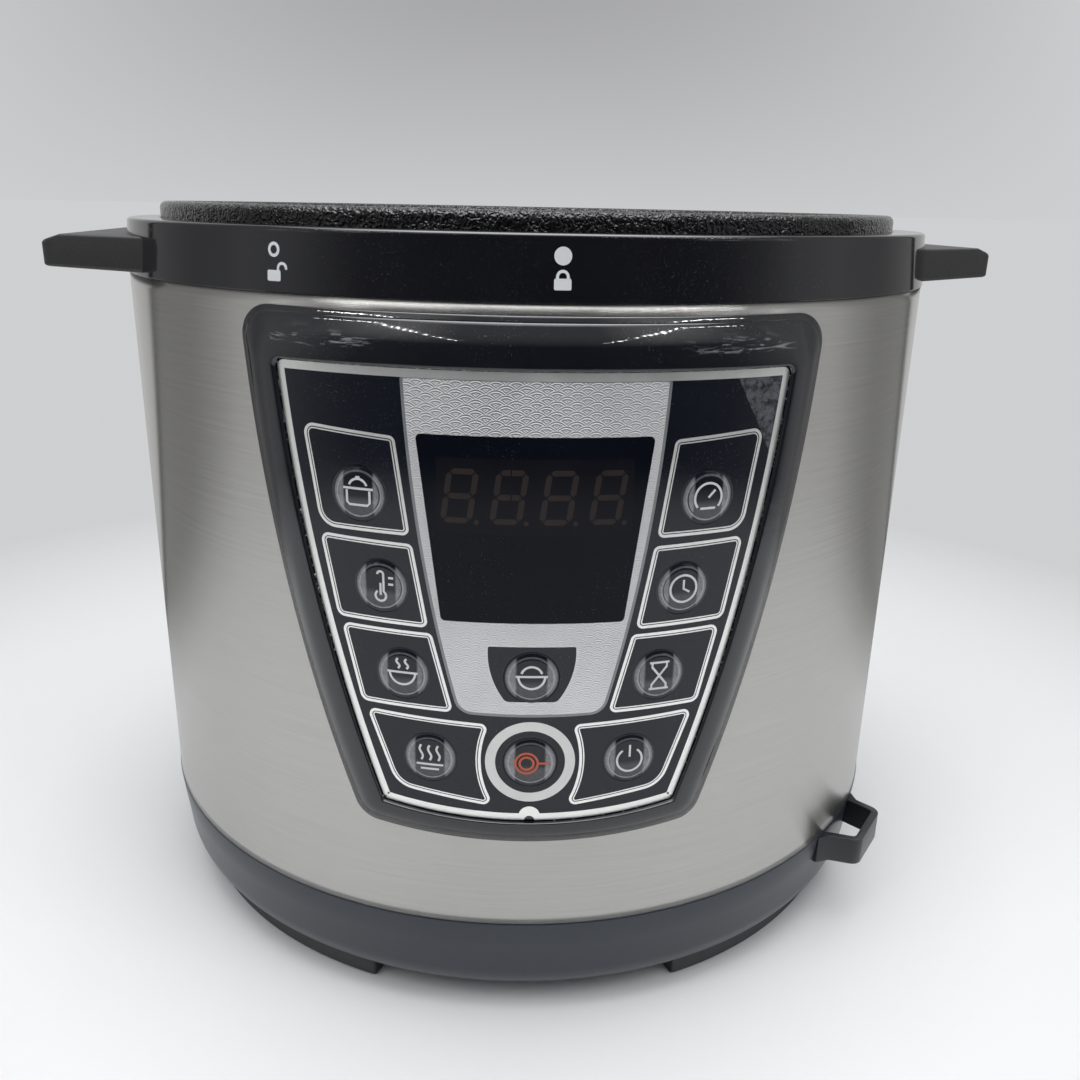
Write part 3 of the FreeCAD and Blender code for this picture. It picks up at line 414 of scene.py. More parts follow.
inlet_black = moulded("inlet_black", (0.012, 0.012, 0.012), (0.02, 0.02, 0.02), (0.4, 0.55), 1300.0, 0.2)
seat(softened("power_inlet", "inlet_socket", inlet_black), "cooker_body", "inlet_black", "power_inlet")
pin_nickel = bare_metal("pin_nickel", (0.55, 0.5, 0.38), (0.72, 0.68, 0.55), (0.18, 0.32), 900.0)
dress(pin_nickel, "inlet_pins")

# Copies of one shape in a straight row
row_of_copies, row_in = geometry_tree("row_of_copies", {"Count": "Int", "Start": "Vector", "Pitch": "Vector"})
row_points = add(row_of_copies, "GeometryNodeMeshLine", {
    "Count": row_in["Count"], "Start Location": row_in["Start"], "Offset": row_in["Pitch"]})
row_copies = add(row_of_copies, "GeometryNodeInstanceOnPoints", {
    "Points": row_points.outputs[0], "Instance": row_in["Geometry"]})
close_tree(row_of_copies, row_in, row_copies.outputs[0])

inlet_screws = pan_head_screw("inlet_screw_heads", zinc_steel)
inlet_screws.data.transform(Matrix.Rotation(-math.pi / 2, 4, "X"))
first_screw = (-INLET_SCREW_SPAN / 2 * MM, INLET_FACE * MM, INLET_LEVEL * MM)
grow(inlet_screws, row_of_copies, Count=2, Start=first_screw, Pitch=(INLET_SCREW_SPAN * MM, 0, 0))
seat(inlet_screws, "cooker_body", "zinc_steel", "inlet_screws")

# Spoon holder: a small black loop on the right of the base for a serving spoon's handle.
# Moulded by itself with two pegs that press into the base ring.
matte_black = moulded("matte_black", (0.010, 0.0105, 0.0125), (0.016, 0.0168, 0.0195), (0.29, 0.38), 1400.0, 0.2)
seat(softened("spoon_holder", "spoon_loop", matte_black, 0.5), "cooker_body", "matte_black", "spoon_holder")

# Works in the base: mains board with relay, transformer and capacitor, and the wires between them.
# Bought-in electronic parts soldered to a green board, with glass-braid wires up to the heater.
WORKS = (
    ("board_green", (0.012, 0.075, 0.03), (0.02, 0.12, 0.045), (0.3, 0.45), 260.0, 0.3, 160.0,
     ("power_board", "control_board")),
    ("relay_blue", (0.012, 0.05, 0.2), (0.02, 0.07, 0.26), (0.29, 0.36), 1500.0, 0.1, 18.0, ("relay",)),
    ("winding_yellow", (0.42, 0.28, 0.03), (0.56, 0.4, 0.06), (0.35, 0.5), 700.0, 0.4, 18.0, ("transformer",)),
    ("capacitor_yellow", (0.6, 0.42, 0.05), (0.7, 0.5, 0.07), (0.29, 0.36), 1500.0, 0.1, 18.0, ("capacitor",)),
    ("wire_sleeve", (0.42, 0.41, 0.38), (0.6, 0.58, 0.54), (0.7, 0.85), 1800.0, 0.8, 900.0,
     ("mains_wires", "sensor_lead")),
    ("ribbon_grey", (0.3, 0.3, 0.32), (0.42, 0.42, 0.44), (0.5, 0.6), 1200.0, 0.3, 300.0, ("panel_ribbon",)))
for name, dark, light, gloss, grain_scale, grain_depth, smear_scale, nodes in WORKS:
    dress(moulded(name, dark, light, gloss, grain_scale, grain_depth, smear_scale=smear_scale), *nodes)
dress(zinc_steel, "board_screws", "vessel_screws", "handle_screws")

# Pressure vessel: deep drawn pot fixed in the body, with the bayonet rim that the lid turns under.
# The rim stands proud of the collar and is enamelled in a dark hammertone; eight lugs point inwards.
RIM_TOP = 236.8
RIM_OUTER = 126.0
RIM_INNER = 120.5
RIM_ROUND = 2.2
LUG_ARC = 19.0
LUG_COUNT = 8


def hammertone_enamel():
    """Dark glossy enamel that draws up into small cells with pale edges as it dries."""
    material, tree, surface = new_material("hammertone")
    where = object_place(tree)
    wander = add(tree, "ShaderNodeTexNoise", {"Vector": where, "Scale": 260.0, "Detail": 2.0}).outputs["Color"]
    cells = add(tree, "ShaderNodeTexVoronoi", {"Vector": two_tones(0.006, where, wander), "Scale": 1050.0,
                                               "Randomness": 1.0}, feature="SMOOTH_F1").outputs["Distance"]
    fine = noise(where, 1900.0, 3.0)
    mottle = times(spread(cells, 0.25, 0.65), spread(fine, 0.35, 0.65, 0.3, 1.0))
    height = plus(cells, times(fine, 0.25))
    feed(surface, {"Base Color": two_tones(mottle, (0.004, 0.004, 0.005), (0.035, 0.035, 0.038)),
                   "Roughness": spread(mottle, 0.0, 1.0, 0.10, 0.20),
                   "Normal": bumped(height, 0.8, 0.0008), "Metallic": 0.5})
    return material


hammertone = hammertone_enamel()
rim_profile = corner_arc((RIM_OUTER - RIM_ROUND, RIM_TOP - RIM_ROUND), RIM_ROUND, 0, 90)
rim_profile += corner_arc((RIM_INNER + RIM_ROUND, RIM_TOP - RIM_ROUND), RIM_ROUND, 90, 180)
rim_profile += [(RIM_INNER, 223.9), (114.5, 223.9)]
rim_profile += corner_arc((110.0, 52.0), 4.5, 0, -90) + [(16.0, 47.5), (16.0, 46.0)]
rim_profile += corner_arc((110.0, 52.0), 6.0, -90, 0) + [(116.0, 221.8), (RIM_OUTER, 221.8)]
seat(piece_of(turned(rim_profile, 360), "pressure_vessel", hammertone), "cooker_body", "hammertone", "outer_pot")
lug_section = [(121.2, 229.6), (117.0, 229.6), (116.3, 230.3), (116.3, 233.6), (117.3, 234.6), (121.2, 234.6)]
lugs = piece_of(arc_bar(lug_section, LUG_ARC, 8), "bayonet_lugs", hammertone, 30.0)
grow(lugs, ring_of_copies, Count=LUG_COUNT, First_Angle=math.radians(22.5), Step=math.tau / LUG_COUNT)
seat(lugs, "cooker_body", "hammertone")

# Heater and its guards: cast aluminium plate with the element inside, on the vessel's floor.
# The sprung cap in its middle feels the pot; switch, fuse and legs are screwed on underneath.
cast_plate = bare_metal("cast_plate", (0.42, 0.42, 0.41), (0.6, 0.6, 0.58), (0.3, 0.5), 300.0, bump=0.15)
spun_alloy = bare_metal("spun_alloy", (0.62, 0.62, 0.62), (0.76, 0.76, 0.76), (0.2, 0.32), 900.0, (1, 1, 8))
switch_brown = moulded("switch_brown", (0.09, 0.045, 0.022), (0.13, 0.065, 0.032), (0.35, 0.5), 1100.0, 0.25)
dress(cast_plate, "heating_plate")
dress(spun_alloy, "sensor_cap", "thermal_fuse")
dress(zinc_steel, "element_terminals", "sensor_bracket", "fuse_clip", "support_legs")
coil = bmesh.new()
coil.from_mesh(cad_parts["sensor_spring"].data)
bmesh.ops.remove_doubles(coil, verts=coil.verts, dist=2e-6)
sensor_coil = piece_of(coil, "sensor_coil", zinc_steel, 50.0)
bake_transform(sensor_coil)
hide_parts("sensor_spring")
dress(switch_brown, "pressure_switch")

# Cooking pot: lift-out aluminium pot with a rolled lip, standing on the heating plate.
# Pressed from sheet; a dark speckled non-stick coat covers it.
pot_coating = moulded("pot_coating", (0.030, 0.030, 0.032), (0.044, 0.044, 0.046), (0.32, 0.46), 1700.0, 0.2,
                      dust=0.8)
feed(surface_of(pot_coating), {"Metallic": 0.3})
pot_profile = [(0.0, 68.3)] + corner_arc((99.0, 78.8), 10.5, -90, 0) + [(109.5, 221.6)]
pot_profile += [(110.1, 223.2), (111.2, 224.0)] + corner_arc((112.6, 223.0), 1.0, 90, -90, 6)
pot_profile += [(111.4, 221.6), (111.0, 221.0)] + corner_arc((99.0, 78.3), 12.0, 0, -90) + [(0.0, 66.3)]
seat(piece_of(turned(pot_profile), "cooking_pot_shell", pot_coating), "cooking_pot", "pot_coating", "inner_pot")

# Body shell: the drum of thin stainless sheet, rolled up and lapped at the back.
# Brushed round the drum with a fine belt, with an opening for the panel's works at the front.
SHELL_LOW = 35.1
SHELL_HIGH = 215.4
SHEET = 0.7
STEEL_COLUMNS = 360
STEEL_ROWS = 60
LAP = math.radians(4.0)
LAP_STEP = -0.55


def arc_through(first, middle, last, steps):
    """Points along the circle through three (across, up) points."""
    (ax, ay), (bx, by), (cx, cy) = first, middle, last
    d = 2 * (ax * (by - cy) + bx * (cy - ay) + cx * (ay - by))
    sa, sb, sc = ax * ax + ay * ay, bx * bx + by * by, cx * cx + cy * cy
    ux = (sa * (by - cy) + sb * (cy - ay) + sc * (ay - by)) / d
    uy = (sa * (cx - bx) + sb * (ax - cx) + sc * (bx - ax)) / d
    start = math.atan2(ay - uy, ax - ux)
    sweep = (math.atan2(cy - uy, cx - ux) - start + math.pi) % math.tau - math.pi
    radius = math.hypot(ax - ux, ay - uy)
    turns = [start + sweep * i / steps for i in range(steps + 1)]
    return [(ux + radius * math.cos(t), uy + radius * math.sin(t)) for t in turns]


def between(first, second, share):
    return (first[0] + (second[0] - first[0]) * share, first[1] + (second[1] - first[1]) * share)


def shortened(edge, from_start, from_end):
    """An edge's points with a length taken off each end, as many points as before."""
    lengths = [0.0]
    for a, b in zip(edge, edge[1:]):
        lengths.append(lengths[-1] + math.dist(a, b))
    targets = [from_start + (lengths[-1] - from_start - from_end) * i / (len(edge) - 1) for i in range(len(edge))]
    points = []
    k = 0
    for target in targets:
        while k < len(edge) - 2 and lengths[k + 1] < target:
            k += 1
        points.append(between(edge[k], edge[k + 1], (target - lengths[k]) / max(lengths[k + 1] - lengths[k], 1e-9)))
    return points


def rounded_loop(edges, radii, corner_steps=8):
    """Closed loop of edges, each a list of points, with the corner after each edge rounded to a radius."""
    count = len(edges)
    trims = []
    weights = []
    for i in range(count):
        end, ahead = edges[i], edges[(i + 1) % count]
        corner = end[-1]
        back_turn = math.atan2(end[-2][1] - corner[1], end[-2][0] - corner[0])
        ahead_turn = math.atan2(ahead[1][1] - corner[1], ahead[1][0] - corner[0])
        half = abs((back_turn - ahead_turn + math.pi) % math.tau - math.pi) / 2
        trims.append(radii[i] / math.tan(half))
        weights.append(math.sin(half))
    loop = []
    for i in range(count):
        edge = shortened(edges[i], trims[i - 1], trims[i])
        corner = edges[i][-1]
        leaving = shortened(edges[(i + 1) % count], trims[i], trims[(i + 1) % count])[0]
        loop += edge
        for step in range(1, corner_steps):
            t = step / corner_steps
            a, b, c = (1 - t) ** 2, 2 * weights[i] * t * (1 - t), t * t
            loop.append(tuple((a * p + b * q + c * r) / (a + b + c) for p, q, r in zip(edge[-1], corner, leaving)))
    return loop


def straight(first, last, steps=12):
    return [between(first, last, i / steps) for i in range(steps + 1)]


def shield(top, half_top, middle, low, bottom, corners):
    """The panel's shield outline as seen from the front: flat top, bowed sides and bowed bottom."""
    right = arc_through((half_top, top), middle, low, 48)
    left = [(-x, z) for x, z in reversed(right)]
    low_edge = arc_through(low, (0.0, bottom), (-low[0], low[1]), 32)
    top_edge = straight((-half_top, top), (half_top, top), 48)
    return rounded_loop([top_edge, right, low_edge, left], [corners[0], corners[1], corners[1], corners[0]], 12)


def pairs(loop):
    """Each item of a closed loop with the one after it."""
    return zip(loop, loop[1:] + loop[:1])


def inside(loop, x, z):
    """True where a point lies inside a closed loop."""
    crossings = 0
    for (ax, az), (bx, bz) in pairs(loop):
        if (az > z) != (bz > z) and x < ax + (bx - ax) * (z - az) / (bz - az):
            crossings += 1
    return crossings % 2 == 1


def uv_place(tree, layer):
    return add(tree, "ShaderNodeUVMap", uv_map=layer).outputs["UV"]


def brushed_steel():
    """Stainless sheet brushed round the drum: fine horizontal lines, faint bands and a few rubbed marks."""
    material, tree, surface = new_material("brushed_shell")
    along = uv_place(tree, "sheet")
    lines = []
    for stretch in ((0.35, 42.0, 1.0), (0.10, 9.0, 1.0), (0.6, 0.9, 1.0)):
        stretched = add(tree, "ShaderNodeMapping", {"Vector": along, "Scale": stretch}).outputs[0]
        lines.append(noise(stretched, 1.0, 4.0, Roughness=0.65))
    streak = plus(times(lines[0], 0.6), times(lines[1], 0.4))
    mask = spread(streak, 0.3, 0.7)
    rubbed = spread(lines[2], 0.45, 0.75, 0.0, 0.012)
    tangent = add(tree, "ShaderNodeTangent", direction_type="RADIAL", axis="Z").outputs[0]
    feed(surface, {"Base Color": two_tones(mask, (0.395, 0.39, 0.377), (0.490, 0.485, 0.468)),
                   "Roughness": plus(spread(mask, 0.0, 1.0, 0.215, 0.255), rubbed),
                   "Normal": bumped(streak, 0.10, 0.00012), "Tangent": tangent, "Metallic": 1.0,
                   "Anisotropic": 0.96, "Anisotropic Rotation": 0.25})
    return material


def rolled_sheet(cutout):
    """The drum's sheet with one edge lapped over the other at the back, open inside the cutout."""
    bm = bmesh.new()
    columns = []
    for i in range(STEEL_COLUMNS + 1):
        turn = -math.pi + (math.tau + LAP) * i / STEEL_COLUMNS - LAP / 2
        share = i / STEEL_COLUMNS
        stand = LAP_STEP if share < 0.012 else LAP_STEP * max(0.0, (0.02 - share) / 0.008)
        column = []
        for j in range(STEEL_ROWS + 1):
            z = SHELL_LOW + (SHELL_HIGH - SHELL_LOW) * j / STEEL_ROWS
            r = (BODY_RADIUS + stand) * MM
            column.append((bm.verts.new((r * math.sin(turn), -r * math.cos(turn), z * MM)), turn, z))
        columns.append(column)
    uv = bm.loops.layers.uv.new("sheet")
    for near, far in zip(columns, columns[1:]):
        for j in range(STEEL_ROWS):
            corners = (near[j], far[j], far[j + 1], near[j + 1])
            turn = sum(c[1] for c in corners) / 4
            z = sum(c[2] for c in corners) / 4
            if math.cos(turn) > 0 and inside(cutout, BODY_RADIUS * math.sin(turn), z):
                continue
            face = bm.faces.new([c[0] for c in corners])
            for loop, corner in zip(face.loops, corners):
                loop[uv].uv = (corner[1] * BODY_RADIUS / 10, corner[2] / 10)
    return bm


cutout = shield(195.5, 62.6, (53.3, 135.0), (37.2, 80.5), 77.0, (2.0, 3.0))
shell = piece_of(rolled_sheet(cutout), "steel_drum", brushed_steel())
shaped(shell, "SOLIDIFY", thickness=SHEET * MM, offset=-1.0)
seat(shell, "cooker_body", "brushed_shell", "body_shell")

# Collar: gloss black ring that covers the sheet's top edge and holds the vessel's rim.
# Injection moulded with a polished face; white printed marks show where the lid opens and locks.
COLLAR_TOP = 231.8
COLLAR_LOW = 215.5
COLLAR_FOOT = (137.4, COLLAR_LOW + 0.3)
COLLAR_SHOULDER = (136.3, COLLAR_TOP - 1.4)
UNLOCK_TURN, LOCK_TURN = math.radians(-29.0), math.radians(2.4)
MARK_HIGH = 0.05


def fed_to(node, socket):
    """The output that an input takes its value from so far."""
    return node.inputs[socket].links[0].from_socket


def polished_black(name, dark, light, gloss, scratches, dust, specular=0.5):
    """Polished black plastic with hairline scratches, finger smears and settled dust."""
    material = moulded(name, dark, light, gloss, 400.0, 0.015, dust=dust, smear_scale=30.0)
    tree, surface = material.node_tree, surface_of(material)
    hairlines = add(tree, "ShaderNodeMapping", {"Vector": object_place(tree), "Rotation": (0.4, 0.9, 0.3),
                                                "Scale": (900.0, 14.0, 900.0)}).outputs[0]
    mask = spread(noise(hairlines, 1.0, 2.0), 0.66, 0.72, 0.0, scratches)
    feed(surface, {"Roughness": plus(fed_to(surface, "Roughness"), mask), "Specular IOR Level": specular})
    return material


gloss_black = polished_black("gloss_black", (0.0046, 0.0050, 0.0074), (0.0070, 0.0075, 0.0105), (0.06, 0.12),
                             0.12, 0.35)
collar_profile = [(137.1, COLLAR_LOW), COLLAR_FOOT, COLLAR_SHOULDER]
collar_profile += corner_arc((135.2, COLLAR_TOP - 1.15), 1.1, 8, 86, 6)
collar_profile += [(127.0, COLLAR_TOP), (126.6, COLLAR_TOP - 0.4), (126.6, 221.7), (118.5, 221.7), (118.5, 219.2)]
collar_profile += [(129.1, 219.2), (129.1, 229.3), (133.6, 229.3), (133.6, 209.5), (136.1, 209.5)]
collar_profile += [(136.1, COLLAR_LOW)]
seat(piece_of(turned(collar_profile, 360), "collar_ring", gloss_black), "cooker_body", "gloss_black", "collar")


def axes(vector):
    """A vector's X, Y and Z outputs."""
    return add(tree_of(vector), "ShaderNodeSeparateXYZ", {0: vector}).outputs


# A flat drawing laid round the drum: across becomes the way round, and what stands off stays so
wrap_round, wrap_in = geometry_tree("wrap_round", {"Radius": "Float", "Slope": "Float", "Level": "Float"})
flat_place = axes(add(wrap_round, "GeometryNodeInputPosition").outputs[0])
turn_angle = calc("DIVIDE", flat_place["X"], wrap_in["Radius"])
above_level = calc("SUBTRACT", flat_place["Z"], wrap_in["Level"])
here_radius = plus(times(above_level, wrap_in["Slope"]), wrap_in["Radius"])
out_radius = calc("SUBTRACT", here_radius, flat_place["Y"])
ahead_radius = times(out_radius, calc("COSINE", turn_angle))
round_place = add(wrap_round, "ShaderNodeCombineXYZ", {
    "X": times(out_radius, calc("SINE", turn_angle)),
    "Y": times(ahead_radius, -1.0), "Z": flat_place["Z"]})
wrapped = add(wrap_round, "GeometryNodeSetPosition", {
    "Geometry": wrap_in["Geometry"], "Position": round_place.outputs[0]})
close_tree(wrap_round, wrap_in, wrapped.outputs[0])


def lift_of(height):
    return height if callable(height) else lambda s, z: height


def bridge(bm, rings):
    """Faces between each ring of vertices and the ring after it."""
    for ring, after in zip(rings, rings[1:]):
        for (a, b), (c, d) in zip(pairs(ring), pairs(after)):
            bm.faces.new((a, b, d, c))


def flat_band(bm, outer, inner, low, high):
    """Closed raised band between two loops of as many points, in a flat drawing of (across, up) in mm."""
    rings = []
    for loop, height in ((outer, low), (outer, high), (inner, high), (inner, low)):
        lift = lift_of(height)
        rings.append([bm.verts.new((s * MM, -lift(s, z) * MM, z * MM)) for s, z in loop])
    bridge(bm, rings + rings[:1])
    return bm


def flat_plate(bm, loops, low, high, strip=2.0):
    """Closed raised plate inside the first loop and outside the others, cut into strips so that it can bend."""
    sheet = bmesh.new()
    for loop in loops:
        corners = [sheet.verts.new((s * MM, 0, z * MM)) for s, z in loop]
        for pair in pairs(corners):
            sheet.edges.new(pair)
    bmesh.ops.triangle_fill(sheet, use_beauty=True, edges=sheet.edges[:])
    reach = max(abs(s) for s, z in loops[0])
    count = int(reach / strip)
    for i in range(-count, count + 1):
        everything = sheet.verts[:] + sheet.edges[:] + sheet.faces[:]
        bmesh.ops.bisect_plane(sheet, geom=everything, plane_co=(i * strip * MM, 0, 0), plane_no=(1, 0, 0), dist=1e-7)
    lift_low, lift_high = lift_of(low), lift_of(high)
    raised = bmesh.ops.extrude_face_region(sheet, geom=sheet.faces[:], use_keep_orig=True)
    tops = {v for v in raised["geom"] if isinstance(v, bmesh.types.BMVert)}
    for v in sheet.verts:
        lift = lift_high if v in tops else lift_low
        v.co.y = -lift(v.co.x / MM, v.co.z / MM) * MM
    bmesh.ops.recalc_face_normals(sheet, faces=sheet.faces)
    mesh = bpy.data.meshes.new("plate")
    sheet.to_mesh(mesh)
    sheet.free()
    bm.from_mesh(mesh)
    bpy.data.meshes.remove(mesh)
    return bm


def offset_loop(loop, distance):
    """Loop moved outwards by a distance, point by point."""
    area = sum(a[0] * b[1] - b[0] * a[1] for a, b in pairs(loop))
    side = 1 if area > 0 else -1
    moved = []
    for before, here, after in zip(loop[-1:] + loop[:-1], loop, loop[1:] + loop[:1]):
        along = (after[0] - before[0], after[1] - before[1])
        length = math.hypot(*along)
        moved.append((here[0] + side * distance * along[1] / length, here[1] - side * distance * along[0] / length))
    return moved


def circle(centre, radius, steps=48):
    turns = [math.tau * i / steps for i in range(steps)]
    return [(centre[0] + radius * math.cos(t), centre[1] + radius * math.sin(t)) for t in turns]


def stroke(bm, points, width, low, high, closed=False):
    """Raised line of one width along points of a flat drawing."""
    if closed:
        flat_band(bm, offset_loop(points, width / 2), offset_loop(points, -width / 2), low, high)
        return
    sides = ([], [])
    for i, here in enumerate(points):
        before, after = points[max(i - 1, 0)], points[min(i + 1, len(points) - 1)]
        length = math.dist(before, after)
        normal = ((after[1] - before[1]) / length, (before[0] - after[0]) / length)
        for side, sign in zip(sides, (0.5, -0.5)):
            side.append((here[0] + normal[0] * width * sign, here[1] + normal[1] * width * sign))
    flat_plate(bm, [sides[0] + sides[1][::-1]], low, high, 1.5)


def keep_places(bm, layer, centre=(0.0, 0.0), unit=1.0):
    """Keep a flat drawing's places, from a centre and in a unit of some mm, as a UV layer."""
    uv = bm.loops.layers.uv.new(layer)
    for face in bm.faces:
        for loop in face.loops:
            place = loop.vert.co / MM
            loop[uv].uv = ((place.x - centre[0]) / unit, (place.z - centre[1]) / unit)


def drawing(bm, name, material, radius, slope=0.0, level=0.0):
    """Finish a flat drawing: keep its flat places, lay it round the drum and smooth it."""
    bmesh.ops.recalc_face_normals(bm, faces=bm.faces)
    keep_places(bm, "flat", unit=10.0)
    piece = piece_of(bm, name, material)
    grow(piece, wrap_round, Radius=radius * MM, Slope=slope, Level=level * MM)
    smooth(piece.data)
    return piece


def printed(name, dark, light, gloss, metallic=0.0, specular=0.5):
    """Screen-printed ink under a clear face, a little uneven and worn."""
    material = moulded(name, dark, light, gloss, 2200.0, 0.012, dust=0.05, smear_scale=60.0)
    feed(surface_of(material), {"Metallic": metallic, "Specular IOR Level": specular})
    return material


def polygon(corners, steps):
    """Straight edges round a closed row of corners."""
    return [straight(a, b, steps) for a, b in pairs(corners)]


mark_white = printed("mark_white", (0.62, 0.64, 0.66), (0.72, 0.74, 0.76), (0.4, 0.5))


def padlock(bm, s, z, opened):
    """Padlock sign: a solid body with a shackle, lifted on one side when it is open."""
    corners = [(s - 2.1, z), (s + 2.1, z), (s + 2.1, z + 2.7), (s - 2.1, z + 2.7)]
    flat_plate(bm, [rounded_loop(polygon(corners, 4), [0.4] * 4, 4)], 0.0, MARK_HIGH)
    shackle = s + (2.6 if opened else 0.0)
    near_foot, far_foot = (shackle + 1.3, z + (2.9 if opened else 2.6)), (shackle - 1.3, z + 2.6)
    bow = corner_arc((shackle, z + 3.1), 1.3, 0, 180, 12)
    stroke(bm, [near_foot] + bow + [far_foot], 0.7, 0.0, MARK_HIGH)


marks = bmesh.new()
unlock_s, lock_s = UNLOCK_TURN * COLLAR_FOOT[0], LOCK_TURN * COLLAR_FOOT[0]
flat_band(marks, circle((unlock_s, 226.1), 1.85), circle((unlock_s, 226.1), 1.05), 0.0, MARK_HIGH)
flat_plate(marks, [circle((lock_s, 226.6), 2.15)], 0.0, MARK_HIGH)
padlock(marks, unlock_s, 218.4, True)
padlock(marks, lock_s, 218.7, False)
collar_slope = (COLLAR_SHOULDER[0] - COLLAR_FOOT[0]) / (COLLAR_SHOULDER[1] - COLLAR_FOOT[1])
collar_marks = drawing(marks, "collar_marks", mark_white, COLLAR_FOOT[0], collar_slope, COLLAR_FOOT[1])
seat(collar_marks, "cooker_body", "gloss_black")

# Handles: flat black carrying tabs on both sides of the collar, with a thinned tip.
# Moulded with a finely textured skin and screwed on from inside the collar's wall.
HANDLE_LOW = 216.3
HANDLE_HIGH = 226.8
HANDLE_TURN = 5.9
HANDLE_ROOT_AZIMUTH = 61.7
HANDLE_CORNER = (155.0, 45.5)
HANDLE_BOW = 159.0
HANDLE_ROUND = 6.0
TIP_END = 160.0
TIP_LENGTH = 11.5
TIP_DROP = 3.5
UNDERSIDE_START, UNDERSIDE_RISE = 105.4, 1.0
HANDLE_SEAT = 135.9


def handle_mesh(side):
    """Tab whose plan runs from the collar out to a bowed edge, with rounded edges and a sloping tip."""
    root_turn = math.radians(HANDLE_ROOT_AZIMUTH)
    corner = (HANDLE_CORNER[0], -HANDLE_CORNER[1])
    root = (HANDLE_SEAT * math.sin(root_turn), -HANDLE_SEAT * math.cos(root_turn))
    far_corner, far_root = (corner[0], -corner[1]), (root[0], -root[1])
    bow = arc_through(corner, (HANDLE_BOW, 0.0), far_corner, 40)
    seat_arc = arc_through(far_root, (HANDLE_SEAT, 0.0), root, 32)
    plan = rounded_loop([straight(root, corner, 16), bow, straight(far_corner, far_root, 16), seat_arc],
                        [HANDLE_ROUND, HANDLE_ROUND, 0.3, 0.3], 10)
    layers = ((0.0, -0.9), (0.03, -0.3), (0.09, 0.0), (0.90, 0.0), (0.96, -0.25), (0.99, -0.6), (1.0, -1.0))
    bm = bmesh.new()
    rings = [[bm.verts.new((x, y, share)) for x, y in offset_loop(plan, inset)] for share, inset in layers]
    bridge(bm, rings)
    for ring in (rings[0], rings[-1]):
        bmesh.ops.triangle_fill(bm, use_beauty=True, edges=[bm.edges.get(pair) for pair in pairs(ring)])
    everything = bm.verts[:] + bm.edges[:] + bm.faces[:]
    bmesh.ops.bisect_plane(bm, geom=everything, plane_co=(TIP_END - TIP_LENGTH, 0, 0), plane_no=(1, 0, 0), dist=1e-5)
    for v in bm.verts:
        out = min(max((v.co.x - TIP_END + TIP_LENGTH) / TIP_LENGTH, 0.0), 1.0)
        low = HANDLE_LOW + UNDERSIDE_RISE * max(0.0, (v.co.x - UNDERSIDE_START) / (TIP_END - UNDERSIDE_START))
        high = HANDLE_HIGH - TIP_DROP * out
        v.co.z = low + (high - low) * v.co.z
    bmesh.ops.recalc_face_normals(bm, faces=bm.faces)
    turn = math.radians(HANDLE_TURN + (0.0 if side > 0 else 180.0))
    bmesh.ops.transform(bm, matrix=Matrix.Rotation(turn, 4, "Z") @ Matrix.Scale(MM, 4), verts=bm.verts)
    return bm


handle_black = moulded("handle_black", (0.0075, 0.0076, 0.009), (0.012, 0.012, 0.0135), (0.40, 0.52), 1250.0, 0.35,
                       dust=0.35)
for name, side in (("handle_left", -1), ("handle_right", 1)):
    seat(piece_of(handle_mesh(side), name + "_tab", handle_black, 24.0), "cooker_body", "matte_black", name)

# Front panel: gloss black shield that covers the opening in the drum.
# Moulded with a broad rounded edge down to the steel and a sunk bed for the printed film.
FILM_RADIUS = 140.0
SCREW_END = 137.4


def round_film(x):
    """Length round the film's face to a place that is seen from straight in front."""
    return FILM_RADIUS * math.asin(x / FILM_RADIUS)


def to_arc(loop):
    """Outline as seen from the front, turned into lengths round the film's face."""
    return [(round_film(x), z) for x, z in loop]


def laid(bm, name, material, slot, *nodes, body="cooker_body"):
    """Lay a flat drawing on the film's face and seat it on its body."""
    return seat(drawing(bm, name, material, FILM_RADIUS), body, slot, *nodes)


bezel_loop = to_arc(shield(212.6, 79.1, (69.1, 135.0), (49.6, 67.5), 64.2, (8.5, 8.0)))
film_loop = to_arc(shield(199.5, 66.6, (57.3, 135.0), (41.2, 76.5), 73.0, (2.0, 1.2)))
bed_loop = offset_loop(film_loop, 0.2)
frame_section = (
    (0.0, -2.9), (0.0, -2.72), (0.006, -2.56), (0.02, -2.42), (0.06, -2.14), (0.10, -1.85), (0.118, -1.74),
    (0.128, -1.76), (0.15, -1.50), (0.20, -1.15), (0.25, -0.81), (0.30, -0.48), (0.35, -0.16), (0.40, 0.14),
    (0.45, 0.42), (0.50, 0.67), (0.55, 0.88), (0.60, 1.05), (0.65, 1.18), (0.70, 1.28), (0.75, 1.36), (0.80, 1.42),
    (0.85, 1.46), (0.90, 1.48), (0.955, 1.47), (0.98, 1.40), (0.994, 1.22), (1.0, 0.95), (1.0, -0.45))
panel = bmesh.new()
rings = []
for share, height in frame_section:
    rings.append([panel.verts.new((p[0] * MM, -height * MM, p[1] * MM))
                  for p in (between(a, b, share) for a, b in zip(bezel_loop, bed_loop))])
bridge(panel, rings + rings[:1])
bezel_black = polished_black("bezel_black", (0.0045, 0.0053, 0.0085), (0.0068, 0.0078, 0.0118), (0.025, 0.06),
                             0.10, 0.5, 0.7)
bezel_face = surface_of(bezel_black)
swells = noise(object_place(bezel_black.node_tree), 55.0, 3.0, Distortion=0.8)
feed(bezel_face, {"Normal": bumped(swells, 0.07, 0.0012, Normal=fed_to(bezel_face, "Normal"))})
laid(panel, "front_panel_frame", bezel_black, "gloss_black", "panel_bezel")
panel_screws = softened("panel_screws", "front_panel_screws", zinc_steel, 0.1)
